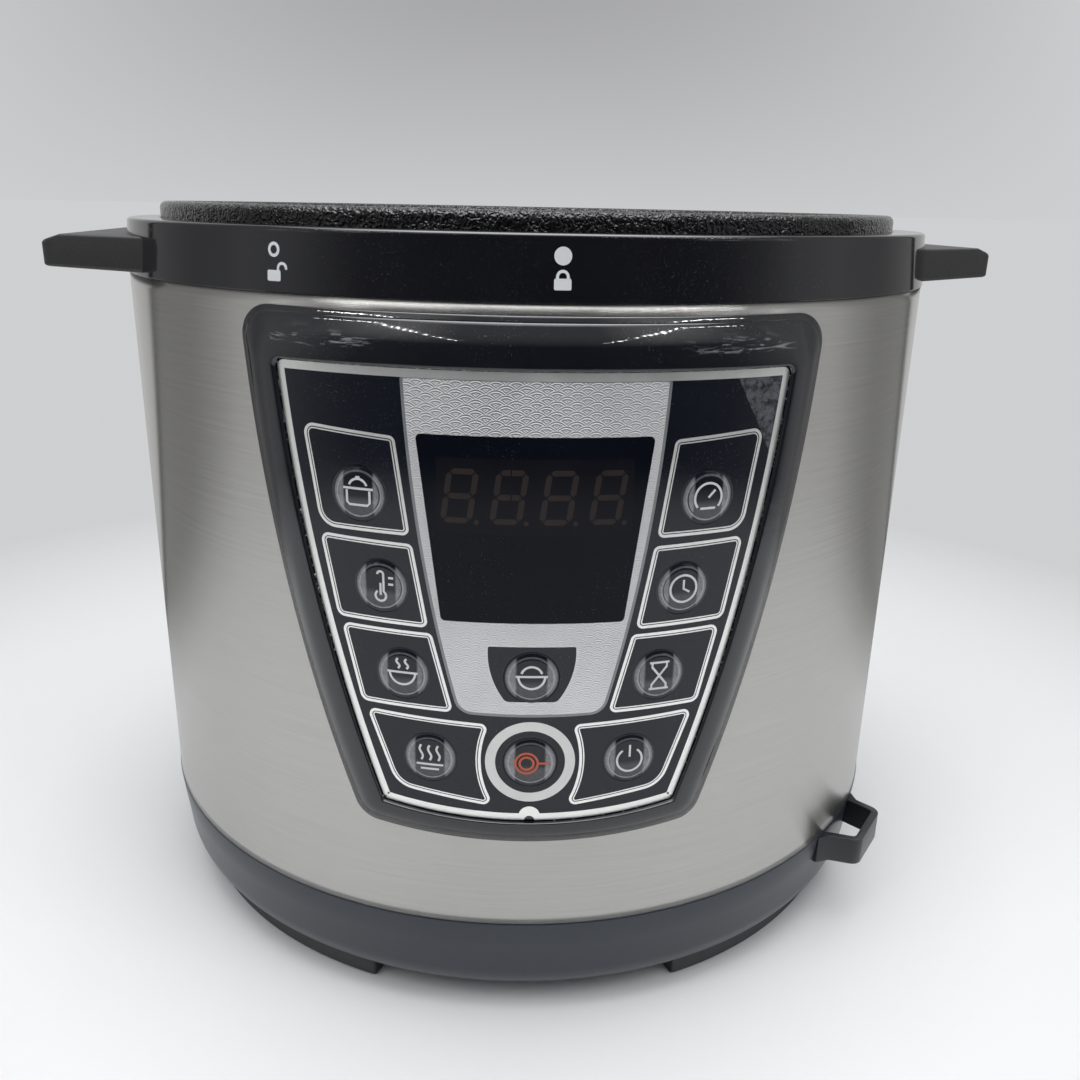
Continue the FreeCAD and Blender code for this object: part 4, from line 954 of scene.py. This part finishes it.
cut_away(panel_screws, turned([(SCREW_END, 60.0), (150.0, 60.0), (150.0, 215.0), (SCREW_END, 215.0)], 120))
seat(panel_screws, "cooker_body", "zinc_steel", "panel_screws")

# Control film: clear polyester sheet, printed on its back and stuck into the panel's bed.
# Dark blue-black ground with silver border and key frames; holes let the key caps and the lens through.
FILM_THICK = 0.4
HOLE_RADIUS = 7.6
PRINT_LOW = 0.0
PRINT_HIGH = 0.03
KEY_REACHES = (45.3, 40.1, 34.8, 27.7)
KEY_LEVELS = (166.4, 141.5, 116.6, 91.7)
KEY_NAMES = (("cook", "low_heat", "stew", "steam"), ("pressure", "timer", "delay", "cancel"))
LENS_TOP, LENS_LOW = 183.0, 133.5
LENS_HALF_TOP, LENS_HALF_LOW = 30.0, 24.0
FILM_TONES = ((0.0058, 0.0074, 0.0135), (0.0078, 0.0096, 0.0165))
FAN_WIDTH, FAN_HEIGHT = 5.0, 1.25
NOTCH = (0.0, 73.0)
key_places = {"rice": (0.0, 117.5), "brown": (0.0, 91.7)}
for side, names in zip((-1, 1), KEY_NAMES):
    for name, reach, level in zip(names, KEY_REACHES, KEY_LEVELS):
        key_places[name] = (side * round_film(reach), level)


def window_loop(inset):
    """The lens outline: wider at the top, with small corner radii."""
    top, low = LENS_TOP - inset, LENS_LOW + inset
    wide, narrow = round_film(LENS_HALF_TOP) - inset, round_film(LENS_HALF_LOW) - inset
    return rounded_loop(polygon([(-wide, top), (wide, top), (narrow, low), (-narrow, low)], 24), [1.3] * 4, 6)


def tint(material, amount, colour):
    """Mix a colour into what a material's colour is so far."""
    surface = surface_of(material)
    feed(surface, {"Base Color": two_tones(amount, fed_to(surface, "Base Color"), colour)})


def scuffed_corner(material):
    """Hazy patch with broken edges where the film's upper right corner has been rubbed."""
    flat = uv_place(material.node_tree, "flat")
    place = axes(flat)
    ragged = noise(flat, 4.5, 7.0, Roughness=0.75)
    slope = plus(times(place["X"], 1.72), place["Y"])
    beyond = plus(slope, times(plus(ragged, -0.5), 0.25))
    patch = times(spread(beyond, 28.80, 28.86), spread(ragged, 0.40, 0.56, 0.1, 1.0))
    tint(material, times(patch, 0.8), (0.125, 0.13, 0.145))


film_dark = polished_black("film_dark", *FILM_TONES, (0.06, 0.11), 0.2, 0.5, 0.4)
scuffed_corner(film_dark)
film_holes = [window_loop(-0.1)] + [circle(p, HOLE_RADIUS) for p in key_places.values()]
laid(flat_plate(bmesh.new(), [film_loop] + film_holes, -FILM_THICK, 0.0, 1.5),
     "control_film_sheet", film_dark, "film_print", "control_film")

print_silver = printed("print_silver", (0.80, 0.81, 0.79), (0.88, 0.89, 0.87), (0.29, 0.34), 0.92)


def key_frame(bm, corners, radii, inner_bow=None):
    """Double frame round a key: a thick line, a gap and a thin line; radii follow the corners."""
    edges = polygon(corners, 16)
    if inner_bow:
        edges[1] = arc_through(corners[1], inner_bow, corners[2], 16)
    loop = rounded_loop(edges, radii[1:] + radii[:1], 8)
    for outer, inner in ((0.0, -0.8), (-1.08, -1.42)):
        flat_band(bm, offset_loop(loop, outer), offset_loop(loop, inner), PRINT_LOW, PRINT_HIGH)


lines = bmesh.new()
flat_band(lines, offset_loop(film_loop, -0.15), offset_loop(film_loop, -2.3), PRINT_LOW, PRINT_HIGH)
flat_plate(lines, [corner_arc((NOTCH[0], NOTCH[1] + 1.6), 3.0, 0, 180, 24)], PRINT_LOW, PRINT_HIGH)
frames = (([(62.2, 184.0), (36.0, 182.2), (32.4, 156.1), (58.0, 156.3)], [2.8, 1.8, 1.8, 5.5], None),
          ([(58.4, 154.6), (31.9, 153.9), (27.8, 130.7), (53.9, 131.2)], [2.2, 1.8, 1.8, 2.6], None),
          ([(53.0, 129.6), (27.0, 129.2), (21.2, 106.2), (47.6, 106.7)], [2.2, 1.8, 1.8, 2.6], None),
          ([(46.4, 104.9), (11.3, 103.2), (9.6, 77.4), (38.0, 81.6)], [2.0, 1.8, 1.8, 8.0], (13.7, 91.4)))
for corners, radii, bow in frames:
    for side in (1, -1):
        key_frame(lines, [(side * s, z) for s, z in corners], radii, bow and (side * bow[0], bow[1]))
laid(lines, "film_silver_lines", print_silver, "film_print")
notch = corner_arc((NOTCH[0], NOTCH[1] + 0.1), 1.45, 0, 180, 24)
laid(flat_plate(bmesh.new(), [notch], PRINT_HIGH, PRINT_HIGH + 0.02), "film_notch", bezel_black, "film_print")


def silver_field():
    """Pale silver ink with a fine embossed fan pattern."""
    material = printed("silver_field", (0.69, 0.69, 0.705), (0.76, 0.76, 0.775), (0.30, 0.35), 0.92)
    place = axes(uv_place(material.node_tree, "flat"))
    row = times(place["Y"], 10 / FAN_HEIGHT)
    stagger = times(calc("FLOORED_MODULO", calc("FLOOR", row), 2.0), 0.5)
    across = calc("FRACT", plus(times(place["X"], 10 / FAN_WIDTH), stagger))
    centred = plus(across, -0.5)
    rise = plus(calc("FRACT", row), times(times(centred, centred), 4.0))
    ripple = calc("SINE", times(rise, 12.0))
    feed(surface_of(material), {"Normal": bumped(ripple, 0.3, 0.0001)})
    # The troughs of the fan pattern are darkened: painted shade in the embossing.
    tint(material, spread(ripple, -1.0, -0.1, 0.26, 0.0), (0.2, 0.2, 0.21))
    return material


field_corners = [(-33.4, 197.0), (33.4, 197.0), (19.4, 106.9), (-19.4, 106.9)]
field_edges = [straight(field_corners[0], field_corners[1], 32),
               arc_through(field_corners[1], (26.9, 140.0), field_corners[2], 32),
               arc_through(field_corners[2], (0.0, 106.4), field_corners[3], 24),
               arc_through(field_corners[3], (-26.9, 140.0), field_corners[0], 32)]
field_loop = rounded_loop(field_edges, [0.4, 4.5, 4.5, 0.4], 8)
cup_top, cup_low = 126.5, 110.2
cup_edges = [straight((-11.8, cup_top), (11.8, cup_top), 12),
             arc_through((11.8, cup_top), (10.6, cup_top - 9.5), (7.0, cup_low), 12),
             straight((7.0, cup_low), (-7.0, cup_low), 12),
             arc_through((-7.0, cup_low), (-10.6, cup_top - 9.5), (-11.8, cup_top), 12)]
cup_loop = rounded_loop(cup_edges, [0.6, 2.0, 2.0, 0.6], 6)
laid(flat_plate(bmesh.new(), [field_loop, window_loop(-0.3), cup_loop], PRINT_LOW, PRINT_HIGH),
     "film_silver_field", silver_field(), "film_print")

print_white = printed("print_white", (0.66, 0.66, 0.66), (0.74, 0.74, 0.735), (0.29, 0.36))
print_grey = printed("print_grey", (0.20, 0.21, 0.22), (0.25, 0.26, 0.27), (0.29, 0.36), 0.4)
laid(flat_band(bmesh.new(), offset_loop(field_loop, 0.8), field_loop, PRINT_LOW, PRINT_HIGH - 0.01),
     "film_grey_strip", print_grey, "film_print")

# Slivers that stand up where the film's cut edge has frayed, most of them along its upper half
FRAY_COUNT = 240
FRAY_LOW = 115.0
FRAY_LOW_SHARE = 0.15
fray_pick = random.Random(7)
cut_edge, inner_edge, outer_edge = (offset_loop(film_loop, reach) for reach in (-0.02, -0.14, 0.3))
spans = [math.dist(a, b) * (1.0 if a[1] > FRAY_LOW else FRAY_LOW_SHARE) for a, b in pairs(cut_edge)]
frays = bmesh.new()
for first in fray_pick.choices(range(len(cut_edge)), spans, k=FRAY_COUNT):
    after = (first + 1) % len(cut_edge)
    near, far = cut_edge[first], cut_edge[after]
    start = fray_pick.uniform(0.0, 0.9)
    end = start + fray_pick.uniform(0.05, 0.16) / math.dist(near, far)
    lean, stand = fray_pick.uniform(-0.2, 0.2), fray_pick.uniform(0.15, 0.6)
    points = [(*between(near, far, start), PRINT_HIGH), (*between(near, far, end), PRINT_HIGH),
              (*between(inner_edge[first], inner_edge[after], start), PRINT_HIGH),
              (*between(outer_edge[first], outer_edge[after], start + lean), stand)]
    corners = [frays.verts.new((p[0] * MM, -p[2] * MM, p[1] * MM)) for p in points]
    for face in ((0, 1, 2), (0, 1, 3), (1, 2, 3), (2, 0, 3)):
        frays.faces.new([corners[i] for i in face])
laid(frays, "film_frayed_edge", print_white, "film_print")
edging = flat_band(bmesh.new(), offset_loop(cup_loop, 0.25), cup_loop, PRINT_LOW, PRINT_HIGH + 0.01)
brown_place = key_places["brown"]
flat_band(edging, circle(brown_place, 12.5, 72), circle(brown_place, 9.7, 72), PRINT_LOW, PRINT_HIGH + 0.02)
laid(edging, "film_white_lines", print_white, "film_print")

# Display: smoked lens flush with the film, with a four-digit segment display behind it.
# The lens is moulded acrylic; the unlit segments show through it as dim brown-grey bars.
LENS_THICK = 2.9
DIGIT_PITCH = 12.7
DIGIT_LOW, DIGIT_HIGH = 160.5, 174.9
DIGIT_HALF = 3.4
DIGITS_SHIFT = -1.2
SEGMENT_HIGH = 0.015
SEGMENT_GAP = 0.25
SLANT = math.tan(math.radians(8.0))
BAR = 1.5
BACKING_HIGH = 0.008
lens_dark = polished_black("lens_dark", (0.0030, 0.0042, 0.0080), (0.0042, 0.0056, 0.0100), (0.04, 0.08),
                           0.06, 0.25, 0.12)
laid(flat_plate(bmesh.new(), [window_loop(0.0)], -LENS_THICK, 0.0),
     "display_lens", lens_dark, "smoked_lens", "display_window")


def bar_between(bm, start, end):
    """One segment of a digit: a slanted bar with pointed ends."""
    along = ((end[0] - start[0]) / math.dist(start, end), (end[1] - start[1]) / math.dist(start, end))
    side = (-along[1] * BAR / 2, along[0] * BAR / 2)
    tip = (along[0] * BAR / 2, along[1] * BAR / 2)
    points = [start, (start[0] + tip[0] + side[0], start[1] + tip[1] + side[1]),
              (end[0] - tip[0] + side[0], end[1] - tip[1] + side[1]), end,
              (end[0] - tip[0] - side[0], end[1] - tip[1] - side[1]),
              (start[0] + tip[0] - side[0], start[1] + tip[1] - side[1])]
    flat_plate(bm, [[(s + (z - DIGIT_LOW) * SLANT, z) for s, z in points]], 0.0, SEGMENT_HIGH, 3.0)


digit = bmesh.new()
levels = (DIGIT_LOW + BAR / 2, (DIGIT_LOW + DIGIT_HIGH) / 2, DIGIT_HIGH - BAR / 2)
for level in levels:
    bar_between(digit, (-DIGIT_HALF + SEGMENT_GAP, level), (DIGIT_HALF - SEGMENT_GAP, level))
for low, high in zip(levels, levels[1:]):
    for s in (-DIGIT_HALF, DIGIT_HALF):
        bar_between(digit, (s, low + SEGMENT_GAP), (s, high - SEGMENT_GAP))
flat_plate(digit, [circle((DIGIT_HALF + 2.0, DIGIT_LOW + 0.4), 0.65, 16)], 0.0, SEGMENT_HIGH)
segment_dim = printed("segment_dim", (0.024, 0.019, 0.019), (0.032, 0.025, 0.024), (0.08, 0.12), specular=0.12)
bmesh.ops.recalc_face_normals(digit, faces=digit.faces)
digits = piece_of(digit, "display_digits", segment_dim)
first_digit = ((DIGITS_SHIFT - 1.5 * DIGIT_PITCH) * MM, 0, 0)
grow(digits, row_of_copies, Count=4, Start=first_digit, Pitch=(DIGIT_PITCH * MM, 0, 0))
grow(digits, wrap_round, Radius=FILM_RADIUS * MM, Slope=0.0, Level=0.0)
seat(digits, "cooker_body", "display_grey")
backing_corners = [(-25.3, 157.7), (25.3, 157.7), (25.3, 177.7), (-25.3, 177.7)]
backing_edges = [straight(a, b, steps) for (a, b), steps in zip(pairs(backing_corners), (8, 4, 8, 4))]
backing = flat_plate(bmesh.new(), [rounded_loop(backing_edges, [0.8] * 4, 4)], 0.0, BACKING_HIGH)
for level in (DIGIT_LOW + 4.2, DIGIT_HIGH - 4.2):
    flat_plate(backing, [circle((-0.4 + (level - DIGIT_LOW) * SLANT, level), 0.7, 16)], BACKING_HIGH, 0.02)
backing_dim = printed("backing_dim", (0.0056, 0.0060, 0.0092), (0.0072, 0.0076, 0.0112), (0.06, 0.1), specular=0.12)
laid(backing, "display_backing", backing_dim, "display_grey")
display_grey = moulded("display_grey", (0.03, 0.028, 0.028), (0.04, 0.038, 0.036), (0.4, 0.5), 900.0, 0.1)
switch_black = moulded("switch_black", (0.012, 0.012, 0.012), (0.02, 0.02, 0.02), (0.4, 0.5), 1200.0, 0.2)
dress(display_grey, "display_module")
dress(switch_black, "switch_housings", *["stem_" + name for name in key_places])

# Keys: ten round push keys behind the film, each a domed cap with its sign printed on it.
# The moulded key presses a board switch; the film's embossed face over it is modelled with the key.
CAP_RADIUS = 7.4
CAP_FLAT = 5.3
CAP_STAND = 0.66
CAP_FOOT = 0.06
CAP_SAG = 0.06
CAP_UNDER = -0.6
CAP_STEPS = 72
SIGN_WIDTH = 0.62
SIGN_LOW, SIGN_HIGH = 0.012, 0.04
RING_GAP = 0.5


def cap_height(distance):
    """Height of the embossed cap above the film at a distance from its middle."""
    if distance < CAP_FLAT:
        return CAP_STAND - CAP_SAG * (distance / CAP_FLAT) ** 2
    share = min((distance - CAP_FLAT) / (CAP_RADIUS - CAP_FLAT), 1.0)
    ease = share * share * (3 - 2 * share)
    return CAP_STAND - CAP_SAG - (CAP_STAND - CAP_SAG - CAP_FOOT) * ease


def cap_mesh(centre):
    """Thin domed cap that fits the hole in the film, closed underneath."""
    bm = bmesh.new()
    radii = [0.0, 1.5, 3.0, 4.2, 5.0, 5.3, 5.55, 5.8, 6.1, 6.4, 6.7, 7.0, 7.2, 7.32, CAP_RADIUS]
    section = [(r, cap_height(r)) for r in radii] + [(CAP_RADIUS, CAP_UNDER), (0.0, CAP_UNDER)]
    spokes = []
    for i in range(CAP_STEPS):
        across, up = math.cos(math.tau * i / CAP_STEPS), math.sin(math.tau * i / CAP_STEPS)
        spokes.append([bm.verts.new(((centre[0] + r * across) * MM, -h * MM, (centre[1] + r * up) * MM))
                       for r, h in section])
    for spoke, after in pairs(spokes):
        for j in range(len(section) - 1):
            bm.faces.new((spoke[j], after[j], after[j + 1], spoke[j + 1]))
    bmesh.ops.remove_doubles(bm, verts=bm.verts, dist=1e-7)
    keep_places(bm, "cap", centre)
    return bm


def length_of(vector):
    return add(tree_of(vector), "ShaderNodeVectorMath", {0: vector}, operation="LENGTH").outputs["Value"]


def within(value, rise, fall):
    """1 between a value's rise and its fall, 0 outside them."""
    return times(spread(value, *rise), spread(value, *fall))


def embossed_film():
    """The film's face over a key: gloss as the rest, with painted reflections: pale crescents at the sides, a ring
    lighter towards its bottom and a lighter lower half.
    """
    material = polished_black("key_face", *FILM_TONES, (0.05, 0.10), 0.15, 0.5, 0.4)
    place = uv_place(material.node_tree, "cap")
    split = axes(place)
    out = length_of(place)
    aside = calc("ABSOLUTE", split["X"])
    sides = times(spread(aside, 3.9, 4.5), spread(out, 7.3, 6.7))
    rim_line = within(out, (5.75, 5.95), (6.4, 6.2))
    rim_share = spread(split["Y"], 2.0, -5.0, 0.3, 0.9)
    low_half = times(spread(split["Y"], -0.6, -2.2), spread(out, 5.9, 5.6))
    # Painted reflections: pale crescents at the sides, the ring lighter towards its bottom, the lower half a little
    # lighter.
    painted_reflection = plus(times(sides, 0.62), times(rim_line, rim_share))
    painted_reflection = plus(painted_reflection, times(low_half, 0.2))
    wander = spread(noise(place, 0.9, 4.0), 0.3, 0.6, 0.7, 1.0)
    tint(material, times(painted_reflection, wander), (0.33, 0.34, 0.36))
    return material


def sign_lines(name):
    """Lines of a key's sign, each a row of points in mm about the key's middle."""
    def arc(centre, radius, start, end, steps=16):
        return corner_arc(centre, radius, start, end, steps)

    def wave(x, low, high):
        return [(x + 0.45 * math.sin(math.tau * i / 12), low + (high - low) * i / 12) for i in range(13)]

    bowl = [arc((0, 0.6), 3.6, 180, 360), [(-4.3, 0.6), (4.3, 0.6)]]
    return {
        "cook": [[(-3.2, 0.9), (-3.2, -2.3), (-2.5, -3.0), (2.5, -3.0), (3.2, -2.3), (3.2, 0.9)],
                 [(-4.2, 1.4), (4.2, 1.4)], arc((0, 1.4), 2.6, 20, 160), [(-0.6, 4.4), (0.6, 4.4)]],
        "low_heat": [arc((0, -2.6), 1.5, 125, 415) + [(0.85, 3.4)] + arc((0, 3.4), 0.85, 0, 180, 8),
                     [(0, -2.4), (0, 1.0)], [(2.2, 2.6), (3.6, 2.6)], [(2.2, 0.8), (3.6, 0.8)]],
        "stew": bowl + [wave(x, 1.7, 4.6) for x in (-1.2, 1.2)],
        "steam": [wave(x, -0.6, 4.0) for x in (-2.4, 0.0, 2.4)] + [[(-3.8, -1.9), (3.8, -1.9)],
                                                                   [(-2.6, -3.3), (2.6, -3.3)]],
        "rice": bowl + [arc((0, 0.6), 2.9, 18, 162)],
        "brown": [arc((-1.0, 0.0), radius, 0, 354, 32) for radius in (3.1, 1.9)] + [[(2.4, 0.0), (5.3, 0.0)]],
        "pressure": [arc((0, 0), 3.9, -40, 220, 32), [(0, 0), (1.9, 2.0)], [(-2.2, -2.9), (2.2, -2.9)]],
        "timer": [arc((0, 0), 3.8, 0, 354, 36), [(0, 2.5), (0, 0), (1.8, -1.0)]],
        "delay": [[(-2.8, 3.9), (2.8, 3.9)], [(-2.8, -3.9), (2.8, -3.9)],
                  [(-2.1, 3.9), (-2.1, 2.6), (2.1, -2.6), (2.1, -3.9)],
                  [(2.1, 3.9), (2.1, 2.6), (-2.1, -2.6), (-2.1, -3.9)]],
        "cancel": [arc((0, -0.3), 3.6, 125, 415, 32), [(0, 0.6), (0, 4.3)]]}[name]


def over_cap(centre, stand):
    """Height of a print that stands a little over a key's cap, as a function of its place."""
    return lambda s, z: cap_height(math.dist((s, z), centre)) + stand


key_face = embossed_film()
key_body = moulded("key_body", (0.02, 0.021, 0.024), (0.028, 0.029, 0.032), (0.35, 0.45), 1200.0, 0.1)
sign_silver = printed("sign_silver", (0.58, 0.59, 0.60), (0.68, 0.69, 0.70), (0.29, 0.36))
sign_orange = printed("sign_orange", (0.42, 0.07, 0.025), (0.52, 0.10, 0.035), (0.29, 0.36))
for name, centre in key_places.items():
    dress(key_body, "key_" + name)
    laid(cap_mesh(centre), "key_cap_" + name, key_face, "key_film", body="push_" + name)
    sign = bmesh.new()
    for points in sign_lines(name):
        placed = [(centre[0] + s, centre[1] + z) for s, z in points]
        is_ring = math.dist(points[0], points[-1]) < RING_GAP
        stroke(sign, placed, SIGN_WIDTH, over_cap(centre, SIGN_LOW), over_cap(centre, SIGN_HIGH), is_ring)
    laid(sign, "key_sign_" + name, sign_orange if name == "brown" else sign_silver, "key_film", body="push_" + name)

# Studio: pale floor, soft light from above, and a camera where the photograph was taken.
# The floor is plain painted board; the room is bright behind the cooker and dim in front of it.
FLOOR_SIZE = 40.0
BOARD_STRETCH = (1.0, 1.3, 1.0)
BOARD_SHIFT = (0.0, 0.39, 0.0)
BOARD_REACH = (0.5, 0.68)
FAR_REACH = (0.20, 0.48)
FAR_TONE = (0.62, 0.625, 0.635)
WALL_TONES = ((0, 0.60), (49.2, 0.60), (50.0, 0.03), (52.6, 0.03), (53.6, 0.30), (76, 0.32), (88, 0.45), (96, 0.60),
              (110, 0.58), (122, 0.30), (132, 0.12), (150, 0.05), (180, 0.04))
ROOM_TURN = math.radians(-4.0)
STRIP_BENDS = ((0.85, -0.45), (0.64, -0.64), (0.52, -0.83), (0.39, -1.20))
STRIP_LEVEL = 0.97
STRIP_SPREAD = 0.03
STRIP_LAMP, STRIP_POWER = (0.012, 0.012), 0.03
HEADING, PITCH, ROLL = (math.radians(a) for a in (2.08, 18.503, 1.194))
CAMERA_PLACE = Vector((-7.4, -384.0, 238.3)) * MM
SENSOR_WIDTH, FOCAL_LENGTH = 36.0, 33.5


def bearing_of(way):
    """Angle of a direction away from straight behind the cooker, to either side."""
    return calc("ARCTAN2", calc("ABSOLUTE", way["X"]), way["Y"])


# How bright the room is round the cooker: pale behind it and at its sides, dark behind the camera
room_tones, room_in, room_out = shader_group("room_tones", [], ["Tone"])
turned_way = add(room_tones, "ShaderNodeVectorRotate", {"Vector": room_in["Vector"], "Angle": ROOM_TURN},
                 rotation_type="Z_AXIS").outputs[0]
bearing = bearing_of(axes(turned_way))
walls = add(room_tones, "ShaderNodeValToRGB", {"Fac": times(bearing, 1 / math.pi)})
while len(walls.color_ramp.elements) < len(WALL_TONES):
    walls.color_ramp.elements.new(0.5)
for element, (degrees, grey) in zip(walls.color_ramp.elements, WALL_TONES):
    element.position = degrees / 180.0
    element.color = (grey, grey, grey, 1)
feed(room_out, {"Tone": walls.outputs[0]})


def floor_paint():
    """Pale board round the cooker; beyond it the camera sees the wall's tone and reflections see the room."""
    material, tree, surface = new_material("pale_floor")
    where = object_place(tree)
    seen = add(tree, "ShaderNodeLightPath").outputs["Is Camera Ray"]
    cloud = noise(where, 6.0, 3.0)
    feed(surface, {"Base Color": two_tones(cloud, (0.80, 0.81, 0.82), (0.84, 0.85, 0.86)), "Roughness": 0.6})
    from_board = add(tree, "ShaderNodeVectorMath", {0: where, 1: BOARD_STRETCH, 2: BOARD_SHIFT},
                     operation="MULTIPLY_ADD").outputs[0]
    shown = times(spread(length_of(where), *FAR_REACH), seen)
    mirrored = times(spread(length_of(from_board), *BOARD_REACH), spread(seen, 1.0, 0.0))
    tone = add(tree, "ShaderNodeGroup", {"Vector": where}, node_tree=room_tones).outputs["Tone"]
    glow = add(tree, "ShaderNodeEmission", {"Color": two_tones(seen, tone, FAR_TONE)}).outputs[0]
    mixed = add(tree, "ShaderNodeMixShader", {0: plus(shown, mirrored), 1: surface.outputs[0], 2: glow})
    feed(tree.nodes["Material Output"], {"Surface": mixed.outputs[0]})
    return material


floor_bm = bmesh.new()
bmesh.ops.create_grid(floor_bm, x_segments=8, y_segments=8, size=FLOOR_SIZE)
piece_of(floor_bm, "floor", floor_paint())


def soft_light(name, place, aim, size, power, mirrored=True):
    """Flat rectangular lamp that faces a point; one that isn't mirrored lights without a glint of its own."""
    lamp = bpy.data.lights.new(name, "AREA")
    lamp.shape = "RECTANGLE"
    lamp.size, lamp.size_y = size
    lamp.energy = power
    holder = bpy.data.objects.new(name, lamp)
    holder.location = place
    holder.visible_glossy = mirrored
    holder.rotation_euler = (Vector(aim) - Vector(place)).to_track_quat("-Z", "Y").to_euler()
    bpy.context.scene.collection.objects.link(holder)


soft_light("ceiling", (0.0, 0.0, 1.0), (0.0, 0.0, 0.0), (1.2, 0.8), 7.1)
soft_light("front_fill", (0.0, -0.85, 1.15), (0.0, -0.25, 0.0), (1.9, 0.8), 2.8, False)
for name, side in (("panel_left", -1), ("panel_right", 1)):
    soft_light(name, (side * 0.8, -0.65, 1.0), (0.0, -0.14, 0.15), (0.5, 0.5), 1.0, False)
strip_rows = [(between(a, b, i / 6), 0.0) for a, b in zip(STRIP_BENDS, STRIP_BENDS[1:]) for i in range(6)]
strip_rows += [(between(STRIP_BENDS[0], STRIP_BENDS[1], i / 5), offset)
               for i in range(5) for offset in (-STRIP_SPREAD, STRIP_SPREAD)]
for name, side in (("strip_left", -1), ("strip_right", 1)):
    for (out, ahead), offset in strip_rows:
        place = (side * (out + offset), ahead + offset, STRIP_LEVEL)
        soft_light(name, place, (0.0, -0.14, 0.2), STRIP_LAMP, STRIP_POWER)

room = bpy.data.worlds.new("room")
bpy.context.scene.world = room
room.use_nodes = True
sky = room.node_tree
sky.nodes.clear()
direction = add(sky, "ShaderNodeTexCoord").outputs["Generated"]
tone = add(sky, "ShaderNodeGroup", {"Vector": direction}, node_tree=room_tones).outputs["Tone"]
look = axes(direction)
swing = bearing_of(look)
overhead = plus(times(within(swing, (1.95, 2.25), (2.75, 2.45)), 0.8), 0.45)
above = two_tones(spread(look["Z"], 0.44, 0.70), tone, overhead)
crumple = noise(direction, 7.0, 4.0, Distortion=1.6)
clutter = times(spread(crumple, 0.54, 0.64), within(look["Z"], (0.08, 0.2), (0.6, 0.45)))
clutter = times(clutter, within(swing, (1.8, 1.95), (2.45, 2.25)))
around = two_tones(clutter, above, (3.2, 3.2, 3.3))
light_path = add(sky, "ShaderNodeLightPath").outputs
zenith = times(spread(look["Z"], 0.82, 0.96), light_path["Is Glossy Ray"])
mirrored = two_tones(zenith, around, (7.0, 7.0, 7.2))
# A darker patch on the backdrop straight behind the cooker, as the camera sees it: painted shade.
dim_patch = times(spread(look["Y"], 0.86, 0.99), spread(look["Z"], -0.04, 0.2))
seen_wall = two_tones(dim_patch, FAR_TONE, (0.345, 0.345, 0.355))
shown = two_tones(light_path["Is Camera Ray"], mirrored, seen_wall)
glow = add(sky, "ShaderNodeBackground", {"Color": shown, "Strength": 1.0})
add(sky, "ShaderNodeOutputWorld", {"Surface": glow.outputs[0]})

ahead = Vector((math.sin(HEADING) * math.cos(PITCH), math.cos(HEADING) * math.cos(PITCH), -math.sin(PITCH)))
level_right = Vector((math.cos(HEADING), -math.sin(HEADING), 0.0))
level_up = level_right.cross(ahead)
right = level_right * math.cos(ROLL) + level_up * math.sin(ROLL)
upward = level_up * math.cos(ROLL) - level_right * math.sin(ROLL)
lens_data = bpy.data.cameras.new("photo_camera")
lens_data.sensor_width = SENSOR_WIDTH
lens_data.lens = FOCAL_LENGTH
camera = bpy.data.objects.new("photo_camera", lens_data)
camera.matrix_world = Matrix((right, upward, -ahead)).transposed().to_4x4()
camera.matrix_world.translation = CAMERA_PLACE
bpy.context.scene.collection.objects.link(camera)
bpy.context.scene.camera = camera
bpy.context.scene.view_settings.view_transform = "Standard"
